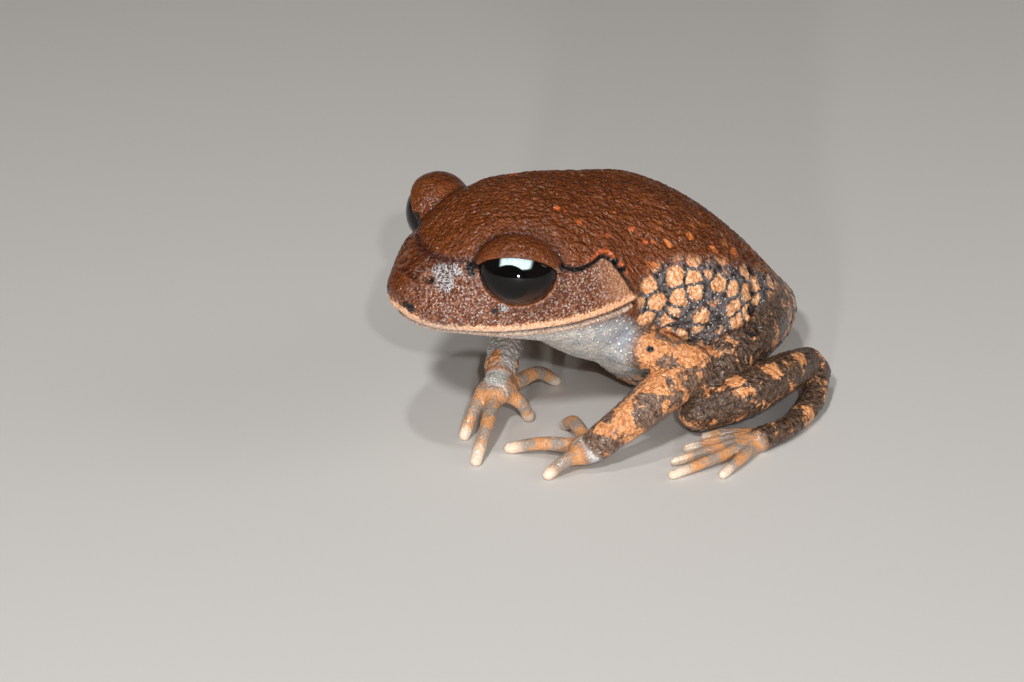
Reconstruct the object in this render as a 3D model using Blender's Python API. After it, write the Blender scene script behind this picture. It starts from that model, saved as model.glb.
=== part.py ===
"""A small spadefoot toad, life size, crouched with its front raised on spread fingers.

The toad faces -Y with its left side at +X and its belly, fingers and feet on the floor at Z = 0.
Sizes are worked in millimetres, and each finished mesh is scaled to metres.
"""

import math

import bmesh
import bpy
import numpy as np
from mathutils import Matrix, Vector

# Driving dimensions, in millimetres
SNOUT_Y = -9.7
RUMP_Y = 38.3
GAP = 0.3
GAP_MARGIN = 0.04
SLIVER = 0.01
EYE_CENTRE = (8.3, -0.35, 21.0)
EYE_RADII = (2.95, 3.8, 3.3)
EYE_TURN = 38.0
LID_THICKNESS = 0.5
UPPER_LID_ANGLE = 50.0
LOWER_LID_ANGLE = -66.0
LID_CORNER = (0.2, 0.25)

# Fineness of the meshes
BODY_VOXEL = 0.36
LIMB_VOXEL = 0.3
HAND_VOXEL = 0.24
SMOOTHING = 2
BODY_TRIANGLES = 6200
LIMB_TRIANGLES = 330
HAND_TRIANGLES = 620
FOOT_TRIANGLES = 700
CUTTER_TRIANGLES = 2600
RING_POINTS = 48
STATION_STEP = 0.5
STATION_CROWDING = 0.025
PROFILE_STEPS = 12
EYE_SEGMENTS = 26
HOOD_SEGMENTS = 24
PALM_SEGMENTS = 16
NOSTRIL_SEGMENTS = 8

# Trunk profile: y, half width, height of the widest line, top, underside
TRUNK = (
    (SNOUT_Y, 0.6, 16.5, 17.2, 16.0),
    (-9.1, 2.7, 16.4, 18.1, 14.9),
    (-7.4, 5.1, 16.2, 19.7, 13.6),
    (-4.8, 7.4, 15.9, 22.1, 13.1),
    (-1.0, 9.2, 15.5, 24.5, 12.0),
    (4.0, 10.5, 15.2, 25.15, 10.0),
    (8.5, 10.8, 14.8, 24.9, 6.8),
    (12.5, 10.4, 14.1, 24.4, 4.6),
    (16.0, 10.8, 12.6, 23.7, 1.5),
    (20.0, 11.6, 10.8, 22.5, -0.1),
    (25.0, 11.4, 9.0, 19.5, -0.5),
    (29.5, 9.4, 7.7, 15.4, -0.2),
    (33.3, 7.0, 6.5, 11.1, 0.9),
    (36.2, 4.4, 5.6, 8.0, 2.4),
    (RUMP_Y, 0.8, 5.0, 5.8, 4.2),
)
BROW_ROUNDNESS = 0.7
FLANK_ROUNDNESS = 0.86
CROWN_ROUNDNESS = 0.92
JAW_ROUNDNESS = 1.25
JAW_END_Y = 4.0
BELLY_START_Y = 14.0

# Lines on the left side, as y and z on the skin, from front to back
MOUTH = (
    (-9.6, 15.5),
    (-9.2, 15.1),
    (-8.2, 14.75),
    (-6.9, 14.65),
    (-4.9, 14.9),
    (-2.4, 14.85),
    (1.3, 14.9),
    (4.8, 15.0),
    (7.6, 15.2),
    (10.3, 15.4),
    (12.2, 15.6),
)
LIP_RADIUS = 0.4
EAR_FOLD = (
    (3.2, 22.0),
    (4.6, 21.0),
    (5.6, 20.6),
    (7.1, 20.7),
    (8.7, 21.1),
    (9.7, 20.5),
    (10.6, 19.2),
    (11.5, 17.5),
    (12.3, 15.9),
)
EAR_FOLD_RADIUS = 0.7
CANTHUS = ((-8.3, 19.2), (-7.4, 19.9), (-6.2, 20.7), (-4.6, 21.4), (-3.7, 21.8))
CANTHUS_RADIUS = 0.65
NOSTRIL = (-7.5, 19.6)
NOSTRIL_RADII = (0.45, 0.6, 0.36)

# The cuts that part head, lower jaw and trunk
NECK_Y = 9.7
NECK_Z = 15.5
NECK_TILT = -32.0
SHEET_HALF_WIDTH = 15.0
SHEET_LEAD = (-4.0, 0.5)
SHEET_STEPS = 3
ABOVE_HEAD = (0.0, 0.0, 30.0)
BELOW_JAW = (0.0, 0.0, 0.0)

# The wedge cut between the lids: beyond them, and in half lengths of the eye
WEDGE_DEPTH = 0.2
WEDGE_REACH = 2.0
WEDGE_SWELL = 1.4

# Arms: x, y, z, radius down each limb, and the fingers from root to tip
NEAR_ARM = {
    "upper": (
        (7.0, 11.4, 10.4, 2.0),
        (9.0, 11.8, 10.3, 2.15),
        (11.2, 13.6, 9.8, 2.1),
        (13.1, 16.6, 8.4, 2.0),
    ),
    "fore": (
        (13.3, 17.0, 8.2, 2.1),
        (14.0, 14.0, 7.1, 2.25),
        (14.3, 10.0, 5.2, 1.95),
        (14.0, 6.4, 3.2, 1.65),
    ),
    "palm": (13.2, 5.0, 1.9),
    "fingers": (
        ((12.4, 6.4, 1.6), (10.2, 8.8, 1.3), (8.2, 10.4, 0.48)),
        ((11.6, 5.7, 1.7), (8.2, 6.4, 2.1), (5.6, 6.8, 0.48)),
        ((12.0, 4.7, 1.6), (9.4, 2.2, 1.5), (6.9, -0.5, 0.48)),
        ((13.4, 3.9, 1.6), (13.6, 2.0, 1.6), (13.4, 0.2, 0.48)),
    ),
}
FAR_ARM = {
    "upper": (
        (-6.2, 9.6, 10.6, 2.3),
        (-8.6, 10.0, 10.4, 2.25),
        (-11.0, 10.8, 9.3, 2.1),
        (-12.9, 11.9, 7.9, 2.0),
    ),
    "fore": (
        (-13.0, 12.0, 7.7, 2.1),
        (-10.0, 9.7, 7.1, 2.2),
        (-5.6, 6.4, 6.1, 1.9),
        (-1.6, 3.4, 4.8, 1.6),
    ),
    "palm": (0.8, 1.5, 3.8),
    "fingers": (
        ((0.9, 2.4, 3.5), (-1.2, 7.4, 3.2), (-3.0, 10.8, 0.48)),
        ((1.6, 2.4, 3.5), (2.4, 3.6, 2.2), (2.3, 4.4, 0.48)),
        ((1.8, 0.6, 3.4), (4.8, -2.0, 2.5), (7.4, -4.7, 0.48)),
        ((0.5, 0.0, 3.4), (1.5, -1.7, 2.4), (2.3, -3.2, 0.48)),
    ),
}
PALM_RADIUS = (1.9, 1.9, 1.15)
FINGER_RADII = (0.86, 0.68, 0.6)
WRIST_RADIUS = 1.55
WRIST_CUT = 0.9
WRIST_CUT_RADIUS = 2.0

# Hind leg of the left side, mirrored for the right
THIGH = (
    (4.4, 30.8, 7.6, 3.3),
    (8.0, 27.6, 7.4, 3.4),
    (10.9, 23.0, 6.4, 3.0),
    (12.5, 18.8, 4.4, 2.2),
)
SHANK = (
    (13.6, 18.0, 3.0, 2.15),
    (15.3, 22.5, 4.4, 2.3),
    (14.3, 27.8, 4.9, 2.05),
    (11.9, 32.6, 3.7, 1.6),
)
TARSUS = (
    (12.3, 33.4, 2.6, 1.5),
    (15.6, 30.6, 1.4, 1.25),
    (18.2, 26.0, 1.0, 1.15),
    (18.9, 22.1, 0.95, 1.3),
)
TOES = (
    ((17.2, 21.6, 0.8), (15.9, 19.4, 0.8), (14.9, 17.9, 0.4)),
    ((17.7, 21.0, 0.8), (16.9, 17.6, 0.9), (15.9, 15.1, 0.4)),
    ((18.3, 20.6, 0.8), (18.2, 16.2, 0.9), (17.5, 12.6, 0.4)),
    ((18.9, 20.6, 0.8), (19.7, 15.6, 0.9), (19.6, 11.0, 0.4)),
    ((19.2, 21.2, 0.8), (20.9, 18.2, 0.8), (22.0, 15.4, 0.4)),
)
TOE_RADII = (0.74, 0.58, 0.48)
LIMB_SIDES = 16
DIGIT_SIDES = 10
ROUND_END_STEPS = 4
ROUND_END_TRIM = 0.3
SPLINE_STEPS = 6


def clear_scene():
    for obj in list(bpy.data.objects):
        bpy.data.objects.remove(obj, do_unlink=True)


def material(name, colour, roughness):
    made = bpy.data.materials.new(name)
    made.use_nodes = True
    shader = made.node_tree.nodes["Principled BSDF"]
    shader.inputs["Base Color"].default_value = (*colour, 1.0)
    shader.inputs["Roughness"].default_value = roughness
    return made


# Curves and meshes
def spline(points, steps=SPLINE_STEPS):
    """Points of a smooth curve through the given ones, which may carry a radius as a last value."""
    given = np.array(points, float)
    ends = np.vstack([2 * given[0] - given[1], given, 2 * given[-1] - given[-2]])
    out = []
    for index in range(len(given) - 1):
        before, start, end, after = ends[index : index + 4]
        for step in range(steps):
            t = step / steps
            out.append(
                0.5
                * (
                    2 * start
                    + (end - before) * t
                    + (2 * before - 5 * start + 4 * end - after) * t**2
                    + (3 * start - before - 3 * end + after) * t**3
                )
            )
    out.append(given[-1])
    return np.array(out)


def new_object(name, mesh):
    obj = bpy.data.objects.new(name, mesh)
    bpy.context.scene.collection.objects.link(obj)
    return obj


def object_from_bmesh(name, work):
    bmesh.ops.recalc_face_normals(work, faces=work.faces)
    mesh = bpy.data.meshes.new(name)
    work.to_mesh(mesh)
    work.free()
    return new_object(name, mesh)


def loft(name, rings):
    """A closed tube through rings of equal point counts, with a flat cap at each end."""
    work = bmesh.new()
    loops = [[work.verts.new(point) for point in ring] for ring in rings]
    count = len(loops[0])
    for lower, upper in zip(loops, loops[1:]):
        for index in range(count):
            after = (index + 1) % count
            work.faces.new((lower[index], lower[after], upper[after], upper[index]))
    work.faces.new(loops[0])
    work.faces.new(loops[-1])
    return object_from_bmesh(name, work)


def round_end(centre, tangent, radius, way):
    """The rings of a half ball at one end of a tube, from the tube outwards."""
    stations = []
    for step in range(1, ROUND_END_STEPS + 1):
        angle = math.pi / 2 * (step - ROUND_END_TRIM) / ROUND_END_STEPS
        place = centre + way * tangent * radius * math.sin(angle)
        stations.append((place, tangent, radius * math.cos(angle)))
    return stations


def tube(name, points, radii, sides):
    """A round-ended tube along the points, its radius following radii."""
    path = [Vector(point) for point in points]
    radii = [float(radius) for radius in radii]
    last = len(path) - 1
    tangents = [(path[min(i + 1, last)] - path[max(i - 1, 0)]).normalized() for i in range(last + 1)]
    stations = round_end(path[0], tangents[0], radii[0], -1)[::-1]
    stations += list(zip(path, tangents, radii))
    stations += round_end(path[-1], tangents[-1], radii[-1], 1)
    across = tangents[0].orthogonal().normalized()
    rings = []
    for centre, tangent, radius in stations:
        across = (across - tangent * across.dot(tangent)).normalized()
        other = tangent.cross(across)
        rings.append(
            [
                centre + radius * (math.cos(a) * across + math.sin(a) * other)
                for a in (2 * math.pi * k / sides for k in range(sides))
            ]
        )
    return loft(name, rings)


def limb_tube(name, points):
    path = spline(points)
    return tube(name, path[:, :3], path[:, 3], LIMB_SIDES)


def digit_tube(name, points, radii):
    path = spline([(*point, radius) for point, radius in zip(points, radii)])
    return tube(name, path[:, :3], path[:, 3], DIGIT_SIDES)


def ridge_tube(name, points, radius):
    path = spline(points)
    ends = np.sin(np.pi * (np.arange(len(path)) + 0.5) / len(path)) ** 0.5
    return tube(name, path, radius * ends, DIGIT_SIDES)


def ellipsoid(name, centre, radii, segments):
    work = bmesh.new()
    bmesh.ops.create_uvsphere(work, u_segments=segments, v_segments=segments // 2, radius=1.0)
    bmesh.ops.transform(
        work, matrix=Matrix.Translation(centre) @ Matrix.Diagonal((*radii, 1.0)), verts=work.verts
    )
    return object_from_bmesh(name, work)


def box(name, low, high):
    work = bmesh.new()
    bmesh.ops.create_cube(work, size=1.0)
    size = Vector(high) - Vector(low)
    middle = (Vector(high) + Vector(low)) / 2
    bmesh.ops.transform(
        work, matrix=Matrix.Translation(middle) @ Matrix.Diagonal((*size, 1.0)), verts=work.verts
    )
    return object_from_bmesh(name, work)


def mirrored(points):
    """The same points, with any radius, on the other side of the body."""
    return tuple((-point[0], *point[1:]) for point in points)


# Modifiers, each applied at once
def apply_modifiers(obj):
    bpy.context.view_layer.update()
    graph = bpy.context.evaluated_depsgraph_get()
    mesh = bpy.data.meshes.new_from_object(obj.evaluated_get(graph))
    obj.modifiers.clear()
    obj.data = mesh


def remove(*objects):
    for obj in objects:
        bpy.data.objects.remove(obj, do_unlink=True)


def join(name, objects):
    work = bmesh.new()
    for obj in objects:
        work.from_mesh(obj.data)
    remove(*objects)
    mesh = bpy.data.meshes.new(name)
    work.to_mesh(mesh)
    work.free()
    return new_object(name, mesh)


def thin(obj, triangles):
    """Merges the small faces of obj until about so many triangles are left."""
    obj.data.calc_loop_triangles()
    fewer = obj.modifiers.new("Thin", "DECIMATE")
    fewer.ratio = min(1.0, triangles / len(obj.data.loop_triangles))
    apply_modifiers(obj)
    return obj


def melt(obj, voxel, triangles):
    """Fuses the overlapping shapes of obj into one smooth skin of about so many triangles."""
    remesh = obj.modifiers.new("Fuse", "REMESH")
    remesh.mode = "VOXEL"
    remesh.voxel_size = voxel
    soften = obj.modifiers.new("Soften", "SMOOTH")
    soften.factor = 0.5
    soften.iterations = SMOOTHING
    apply_modifiers(obj)
    return thin(obj, triangles)


def cut(obj, cutter, near=None):
    """Takes the cutter's shape out of obj, keeps the shell named by near, and removes the cutter."""
    change = obj.modifiers.new("Cut", "BOOLEAN")
    change.operation = "DIFFERENCE"
    change.object = cutter
    change.solver = "EXACT"
    apply_modifiers(obj)
    remove(cutter)
    keep_one(obj, near)
    return obj


def common(obj, other):
    """Leaves of obj only what it shares with other, which is removed."""
    change = obj.modifiers.new("Common", "BOOLEAN")
    change.operation = "INTERSECT"
    change.object = other
    change.solver = "EXACT"
    apply_modifiers(obj)
    remove(other)
    return obj


def copy_of(obj, name):
    return new_object(name, obj.data.copy())


def clear_of(obj, *others):
    """Cuts obj back so that a gap stays between it and the others."""
    block = join("block", [copy_of(other, "copy") for other in others])
    swell = block.modifiers.new("Swell", "DISPLACE")
    swell.strength = GAP + GAP_MARGIN
    swell.mid_level = 0.0
    clean = block.modifiers.new("Clean", "REMESH")
    clean.mode = "VOXEL"
    clean.voxel_size = LIMB_VOXEL
    apply_modifiers(block)
    thin(block, CUTTER_TRIANGLES)
    return cut(obj, block)


def shells(work):
    """The groups of faces of a bmesh that are connected by edges of exactly two faces."""
    left = set(work.faces)
    groups = []
    while left:
        stack = [left.pop()]
        group = list(stack)
        while stack:
            for edge in stack.pop().edges:
                if len(edge.link_faces) != 2:
                    continue
                for face in edge.link_faces:
                    if face in left:
                        left.remove(face)
                        group.append(face)
                        stack.append(face)
        groups.append(group)
    return groups


def keep_one(obj, near=None):
    """Keeps only the shell of the largest area, or the large one whose middle lies nearest to a point."""
    work = bmesh.new()
    work.from_mesh(obj.data)
    groups = sorted(shells(work), key=lambda group: -sum(face.calc_area() for face in group))
    if near is not None:
        groups = sorted(groups[:2], key=lambda group: (middle_of(group) - Vector(near)).length) + groups[2:]
    for group in groups[1:]:
        bmesh.ops.delete(work, geom=group, context="FACES")
    loose = [vert for vert in work.verts if not vert.link_faces]
    bmesh.ops.delete(work, geom=loose, context="VERTS")
    bmesh.ops.dissolve_degenerate(work, dist=SLIVER, edges=work.edges)
    work.to_mesh(obj.data)
    work.free()


def middle_of(faces):
    return sum((face.calc_center_median() * face.calc_area() for face in faces), Vector()) / sum(
        face.calc_area() for face in faces
    )


def half_space(name, point, normal, reach=60.0):
    """A large block on the side of the plane that normal points to."""
    block = box(name, (-reach, -reach, 0.0), (reach, reach, reach))
    turn = Vector(normal).to_track_quat("Z", "Y").to_matrix().to_4x4()
    block.data.transform(Matrix.Translation(point) @ turn)
    return block


def split(obj, first_name, second_name, point, normal):
    """Parts obj at a plane, leaving the gap: the first part lies against normal, the second along it."""
    direction = Vector(normal).normalized()
    first = copy_of(obj, first_name)
    second = copy_of(obj, second_name)
    remove(obj)
    cut(first, half_space("Cut", Vector(point) - direction * GAP / 2, direction))
    cut(second, half_space("Cut", Vector(point) + direction * GAP / 2, -direction))
    return first, second


def disc(name, point, normal, radius):
    """A plate as thick as the gap, centred on point and square to normal."""
    work = bmesh.new()
    bmesh.ops.create_cone(
        work, cap_ends=True, segments=LIMB_SIDES * 2, radius1=radius, radius2=radius, depth=GAP
    )
    turn = Vector(normal).to_track_quat("Z", "Y").to_matrix().to_4x4()
    bmesh.ops.transform(work, matrix=Matrix.Translation(point) @ turn, verts=work.verts)
    return object_from_bmesh(name, work)


def stand_on_floor(obj):
    return cut(obj, half_space("Floor", (0.0, 0.0, 0.0), (0.0, 0.0, -1.0)))


# Body
def section(y):
    """Half width, height of the widest line, top and underside of the trunk at y."""
    curve = spline(TRUNK, PROFILE_STEPS)
    return [float(np.interp(y, curve[:, 0], curve[:, column])) for column in range(1, 5)]


def upper_roundness(y):
    """How the upper side's section curves in: squarely over the brow, round over the back."""
    return float(np.interp(y, (JAW_END_Y, BELLY_START_Y), (BROW_ROUNDNESS, FLANK_ROUNDNESS)))


def lower_roundness(y):
    """How the underside's section curves in: sharply under the jaw, full at the belly."""
    return float(np.interp(y, (JAW_END_Y, BELLY_START_Y), (JAW_ROUNDNESS, FLANK_ROUNDNESS)))


def skin_x(y, z):
    """How far to the side the trunk's surface lies at y and z."""
    width, wide_z, top, bottom = section(y)
    reach = top - wide_z if z > wide_z else wide_z - bottom
    rise = min(1.0, abs(z - wide_z) / reach) ** (1 / CROWN_ROUNDNESS)
    roundness = upper_roundness(y) if z > wide_z else lower_roundness(y)
    return width * math.sqrt(1 - rise**2) ** roundness


def on_skin(line, side):
    """Points of a line given by y and z, set on the surface of the trunk."""
    return [(side * skin_x(y, z), y, z) for y, z in line]


def trunk():
    count = round((RUMP_Y - SNOUT_Y) / STATION_STEP)
    rings = []
    for share in np.linspace(0.0, 1.0, count):
        share -= STATION_CROWDING * math.sin(4 * math.pi * share)
        y = SNOUT_Y + (RUMP_Y - SNOUT_Y) * share
        width, wide_z, top, bottom = section(y)
        ring = []
        for index in range(RING_POINTS):
            angle = 2 * math.pi * (index + 0.5) / RING_POINTS
            side, rise = math.cos(angle), math.sin(angle)
            reach = top - wide_z if rise > 0 else wide_z - bottom
            roundness = upper_roundness(y) if rise > 0 else lower_roundness(y)
            x = width * math.copysign(abs(side) ** roundness, side)
            z = wide_z + reach * math.copysign(abs(rise) ** CROWN_ROUNDNESS, rise)
            ring.append((x, y, z))
        rings.append(ring)
    return loft("trunk", rings)


def eye_ball(name, side, extra, segments):
    """The eye of one side, or a shape larger than it all round by extra."""
    ball = ellipsoid(name, (0.0, 0.0, 0.0), [radius + extra for radius in EYE_RADII], segments)
    turn = Matrix.Rotation(math.radians(-side * EYE_TURN), 4, "Z")
    ball.data.transform(Matrix.Translation((side * EYE_CENTRE[0], *EYE_CENTRE[1:])) @ turn)
    return ball


def whole_body():
    pieces = [trunk()]
    for side in (1, -1):
        pieces.append(eye_ball("hood", side, LID_THICKNESS, HOOD_SEGMENTS))
        for line, radius in ((EAR_FOLD, EAR_FOLD_RADIUS), (CANTHUS, CANTHUS_RADIUS), (MOUTH, LIP_RADIUS)):
            pieces.append(ridge_tube("ridge", on_skin(line, side), radius))
    return melt(join("body", pieces), BODY_VOXEL, BODY_TRIANGLES)


def eye_opening(side):
    """A wedge as deep as the lids, whose two flat faces leave the edges of the upper and lower lid."""
    reach = EYE_RADII[1] * WEDGE_REACH
    corners = [LID_CORNER]
    for degrees, share in ((UPPER_LID_ANGLE, 1.0), (0.0, WEDGE_SWELL), (LOWER_LID_ANGLE, 1.0)):
        angle = math.radians(degrees)
        out = LID_CORNER[0] + reach * share * math.cos(angle)
        corners.append((out, LID_CORNER[1] + reach * math.sin(angle)))
    rings = [[(side * out, end, up) for out, up in corners] for end in (-reach, reach)]
    wedge = loft("opening", rings)
    turn = Matrix.Rotation(math.radians(-side * EYE_TURN), 4, "Z")
    wedge.data.transform(Matrix.Translation((side * EYE_CENTRE[0], *EYE_CENTRE[1:])) @ turn)
    return common(wedge, eye_ball("lids", side, LID_THICKNESS + WEDGE_DEPTH, HOOD_SEGMENTS))


def mouth_sheet():
    """A thin sheet across the head along the line of the mouth, ending at the corners of the jaw."""
    line = [(SNOUT_Y + SHEET_LEAD[0], MOUTH[0][1] + SHEET_LEAD[1]), *MOUTH]
    half = SHEET_HALF_WIDTH
    rings = []
    for y, z in spline(line, SHEET_STEPS):
        low, high = z - GAP / 2, z + GAP / 2
        rings.append([(-half, y, low), (half, y, low), (half, y, high), (-half, y, high)])
    return loft("mouth", rings)


def build_body():
    body = stand_on_floor(whole_body())
    for side in (1, -1):
        cut(body, eye_opening(side))
        cut(body, eye_ball("socket", side, GAP, EYE_SEGMENTS))
        nostril = on_skin([NOSTRIL], side)[0]
        cut(body, ellipsoid("nostril", nostril, NOSTRIL_RADII, NOSTRIL_SEGMENTS))
    tilt = math.radians(NECK_TILT)
    head, torso = split(
        body, "head", "torso", (0.0, NECK_Y, NECK_Z), (0.0, math.cos(tilt), math.sin(tilt))
    )
    jaw = copy_of(head, "lower_jaw")
    cut(head, mouth_sheet(), near=ABOVE_HEAD)
    cut(jaw, mouth_sheet(), near=BELOW_JAW)
    cut(torso, mouth_sheet())
    return head, jaw, torso


def build_eyes():
    return [eye_ball("eye_l", 1, 0.0, EYE_SEGMENTS), eye_ball("eye_r", -1, 0.0, EYE_SEGMENTS)]


# Limbs
def build_arm(suffix, arm, head_nodes):
    upper = melt(limb_tube("upper_arm" + suffix, arm["upper"]), LIMB_VOXEL, LIMB_TRIANGLES)
    clear_of(upper, *head_nodes)
    fore = limb_tube("fore", arm["fore"])
    palm = ellipsoid("palm", arm["palm"], PALM_RADIUS, PALM_SEGMENTS)
    fingers = [digit_tube("finger", points, FINGER_RADII) for points in arm["fingers"]]
    elbow, wrist = Vector(arm["fore"][0][:3]), Vector(arm["fore"][-1][:3])
    bridge = limb_tube("bridge", ((*wrist, WRIST_RADIUS), (*arm["palm"], PALM_RADIUS[2])))
    fore = join("forearm" + suffix, [fore, palm, bridge, *fingers])
    melt(fore, HAND_VOXEL, LIMB_TRIANGLES + HAND_TRIANGLES)
    stand_on_floor(fore)
    hand = copy_of(fore, "hand" + suffix)
    upward = (Vector(arm["fore"][-2][:3]) - wrist).normalized()
    place = wrist + upward * WRIST_CUT
    cut(fore, disc("wrist", place, upward, WRIST_CUT_RADIUS), near=elbow)
    cut(hand, disc("wrist", place, upward, WRIST_CUT_RADIUS), near=Vector(arm["palm"]))
    clear_of(fore, upper, *head_nodes)
    clear_of(hand, *head_nodes)
    return upper, fore, hand


def build_leg(suffix, side, torso, arm_nodes):
    def on_side(points):
        return points if side == 1 else mirrored(points)

    thigh = melt(limb_tube("thigh" + suffix, on_side(THIGH)), LIMB_VOXEL, LIMB_TRIANGLES)
    stand_on_floor(thigh)
    clear_of(thigh, torso, *arm_nodes)
    shank = melt(limb_tube("shank" + suffix, on_side(SHANK)), LIMB_VOXEL, LIMB_TRIANGLES)
    stand_on_floor(shank)
    clear_of(shank, torso, thigh, *arm_nodes)
    toes = [digit_tube("toe", on_side(points), TOE_RADII) for points in TOES]
    foot = join("foot" + suffix, [limb_tube("tarsus", on_side(TARSUS)), *toes])
    melt(foot, HAND_VOXEL, FOOT_TRIANGLES)
    stand_on_floor(foot)
    clear_of(foot, torso, thigh, shank, *arm_nodes)
    return thigh, shank, foot


# Each colour with its roughness
SKIN_BACK = ((0.12, 0.045, 0.022), 0.45)
SKIN_ARM = ((0.42, 0.18, 0.07), 0.5)
SKIN_LEG = ((0.20, 0.11, 0.07), 0.5)
SKIN_JAW = ((0.24, 0.27, 0.30), 0.45)
EYE_BLACK = ((0.008, 0.006, 0.006), 0.05)
METRES_PER_MILLIMETRE = 0.001
SHARP_ANGLE = math.radians(40.0)


def finish(objects, colour):
    """Gives each object its material, scales it to metres and shades it smooth."""
    for obj in objects:
        obj.data.materials.clear()
        obj.data.materials.append(material("mat_" + obj.name, *colour))
        obj.data.transform(Matrix.Scale(METRES_PER_MILLIMETRE, 4))
        obj.data.shade_smooth()
        obj.data.set_sharp_from_angle(angle=SHARP_ANGLE)


def centre_on_origin():
    """Moves every node so that the middle of the box's underside is at the origin."""
    corners = np.array([vert.co for obj in bpy.data.objects for vert in obj.data.vertices])
    low, high = corners.min(axis=0), corners.max(axis=0)
    shift = Vector((-(low[0] + high[0]) / 2, -(low[1] + high[1]) / 2, -low[2]))
    for obj in bpy.data.objects:
        obj.data.transform(Matrix.Translation(shift))


def main():
    clear_scene()
    head, jaw, torso = build_body()
    eyes = build_eyes()
    arms = [build_arm("_l", NEAR_ARM, (torso, head, jaw)), build_arm("_r", FAR_ARM, (torso, head, jaw))]
    legs = [build_leg("_l", 1, torso, arms[0]), build_leg("_r", -1, torso, arms[1])]
    finish([head, torso], SKIN_BACK)
    finish([jaw], SKIN_JAW)
    finish(eyes, EYE_BLACK)
    for arm in arms:
        finish(arm, SKIN_ARM)
    for leg in legs:
        finish(leg, SKIN_LEG)
    centre_on_origin()


main()
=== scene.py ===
"""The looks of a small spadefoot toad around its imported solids: one skin, two eyes, floor and light."""

import math

import bpy
import numpy as np
from mathutils import Matrix, Vector


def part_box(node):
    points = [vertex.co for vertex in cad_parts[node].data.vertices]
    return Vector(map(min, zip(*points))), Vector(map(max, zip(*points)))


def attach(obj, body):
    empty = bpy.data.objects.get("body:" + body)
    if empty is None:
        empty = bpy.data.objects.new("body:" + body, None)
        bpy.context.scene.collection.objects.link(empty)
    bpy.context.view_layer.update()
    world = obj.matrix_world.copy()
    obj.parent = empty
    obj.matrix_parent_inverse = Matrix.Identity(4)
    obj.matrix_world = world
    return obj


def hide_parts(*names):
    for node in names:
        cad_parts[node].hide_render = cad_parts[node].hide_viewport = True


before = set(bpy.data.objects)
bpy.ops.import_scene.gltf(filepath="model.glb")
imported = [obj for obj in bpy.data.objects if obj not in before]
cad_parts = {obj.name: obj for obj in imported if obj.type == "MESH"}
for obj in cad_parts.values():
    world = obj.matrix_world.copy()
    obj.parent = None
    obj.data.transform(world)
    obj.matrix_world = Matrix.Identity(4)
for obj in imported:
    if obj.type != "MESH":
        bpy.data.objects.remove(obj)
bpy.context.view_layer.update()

MM = 0.001

# Named sizes of the toad in millimetres, as the solids have them
SNOUT_Y = -9.7
RUMP_Y = 38.3
EYE_CENTRE = np.array([8.3, -0.35, 21.0])
EYE_RADII = np.array([2.95, 3.8, 3.3])
EYE_TURN = math.radians(38.0)
LID_THICKNESS = 0.5
UPPER_LID_ANGLE = math.radians(50.0)
LOWER_LID_ANGLE = math.radians(-66.0)
LID_CORNER = (0.2, 0.25)
TRUNK = (
    (SNOUT_Y, 0.6, 16.5, 17.2, 16.0),
    (-9.1, 2.7, 16.4, 18.1, 14.9),
    (-7.4, 5.1, 16.2, 19.7, 13.6),
    (-4.8, 7.4, 15.9, 22.1, 13.1),
    (-1.0, 9.2, 15.5, 24.5, 12.0),
    (4.0, 10.5, 15.2, 25.15, 10.0),
    (8.5, 10.8, 14.8, 24.9, 6.8),
    (12.5, 10.4, 14.1, 24.4, 4.6),
    (16.0, 10.8, 12.6, 23.7, 1.5),
    (20.0, 11.6, 10.8, 22.5, -0.1),
    (25.0, 11.4, 9.0, 19.5, -0.5),
    (29.5, 9.4, 7.7, 15.4, -0.2),
    (33.3, 7.0, 6.5, 11.1, 0.9),
    (36.2, 4.4, 5.6, 8.0, 2.4),
    (RUMP_Y, 0.8, 5.0, 5.8, 4.2),
)
FLANK_ROUNDNESS = 0.86
CROWN_ROUNDNESS = 0.92
BROW_ROUNDNESS = 0.7
JAW_ROUNDNESS = 1.25
JAW_END_Y = 4.0
BELLY_START_Y = 14.0
WEDGE_DEPTH = 0.2
MOUTH = (
    (-9.6, 15.5), (-9.2, 15.1), (-8.2, 14.75), (-6.9, 14.65), (-4.9, 14.9), (-2.4, 14.85),
    (1.3, 14.9), (4.8, 15.0), (7.6, 15.2), (10.3, 15.4), (12.2, 15.6),
)
EAR_FOLD = (
    (3.2, 22.0), (4.6, 21.0), (5.6, 20.6), (7.1, 20.7), (8.7, 21.1), (9.7, 20.5), (10.6, 19.2),
    (11.5, 17.5), (12.3, 15.9),
)
CANTHUS = ((-8.3, 19.2), (-7.4, 20.2), (-6.2, 21.2), (-4.6, 21.8), (-3.7, 22.1))
NOSTRIL = (2.7, -7.5, 19.6)
NOSTRIL_RADII = (1.1, 1.1, 0.647)

NEAR_ARM = {
    "upper": (
        (7.0, 11.4, 10.4, 2.0),
        (9.0, 11.8, 10.3, 2.15),
        (11.2, 13.6, 9.8, 2.1),
        (13.1, 16.6, 8.4, 2.0),
    ),
    "fore": (
        (13.3, 17.0, 8.2, 2.1),
        (14.0, 14.0, 7.1, 2.25),
        (14.3, 10.0, 5.2, 1.95),
        (14.0, 6.4, 3.2, 1.65),
    ),
    "palm": (13.2, 5.0, 1.9),
    "fingers": (
        ((12.4, 6.4, 1.6), (10.2, 8.8, 1.3), (8.2, 10.4, 0.48)),
        ((11.6, 5.7, 1.7), (8.2, 6.4, 2.1), (5.6, 6.8, 0.48)),
        ((12.0, 4.7, 1.6), (9.4, 2.2, 1.5), (6.9, -0.5, 0.48)),
        ((13.4, 3.9, 1.6), (13.6, 2.0, 1.6), (13.4, 0.2, 0.48)),
    ),
}
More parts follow.
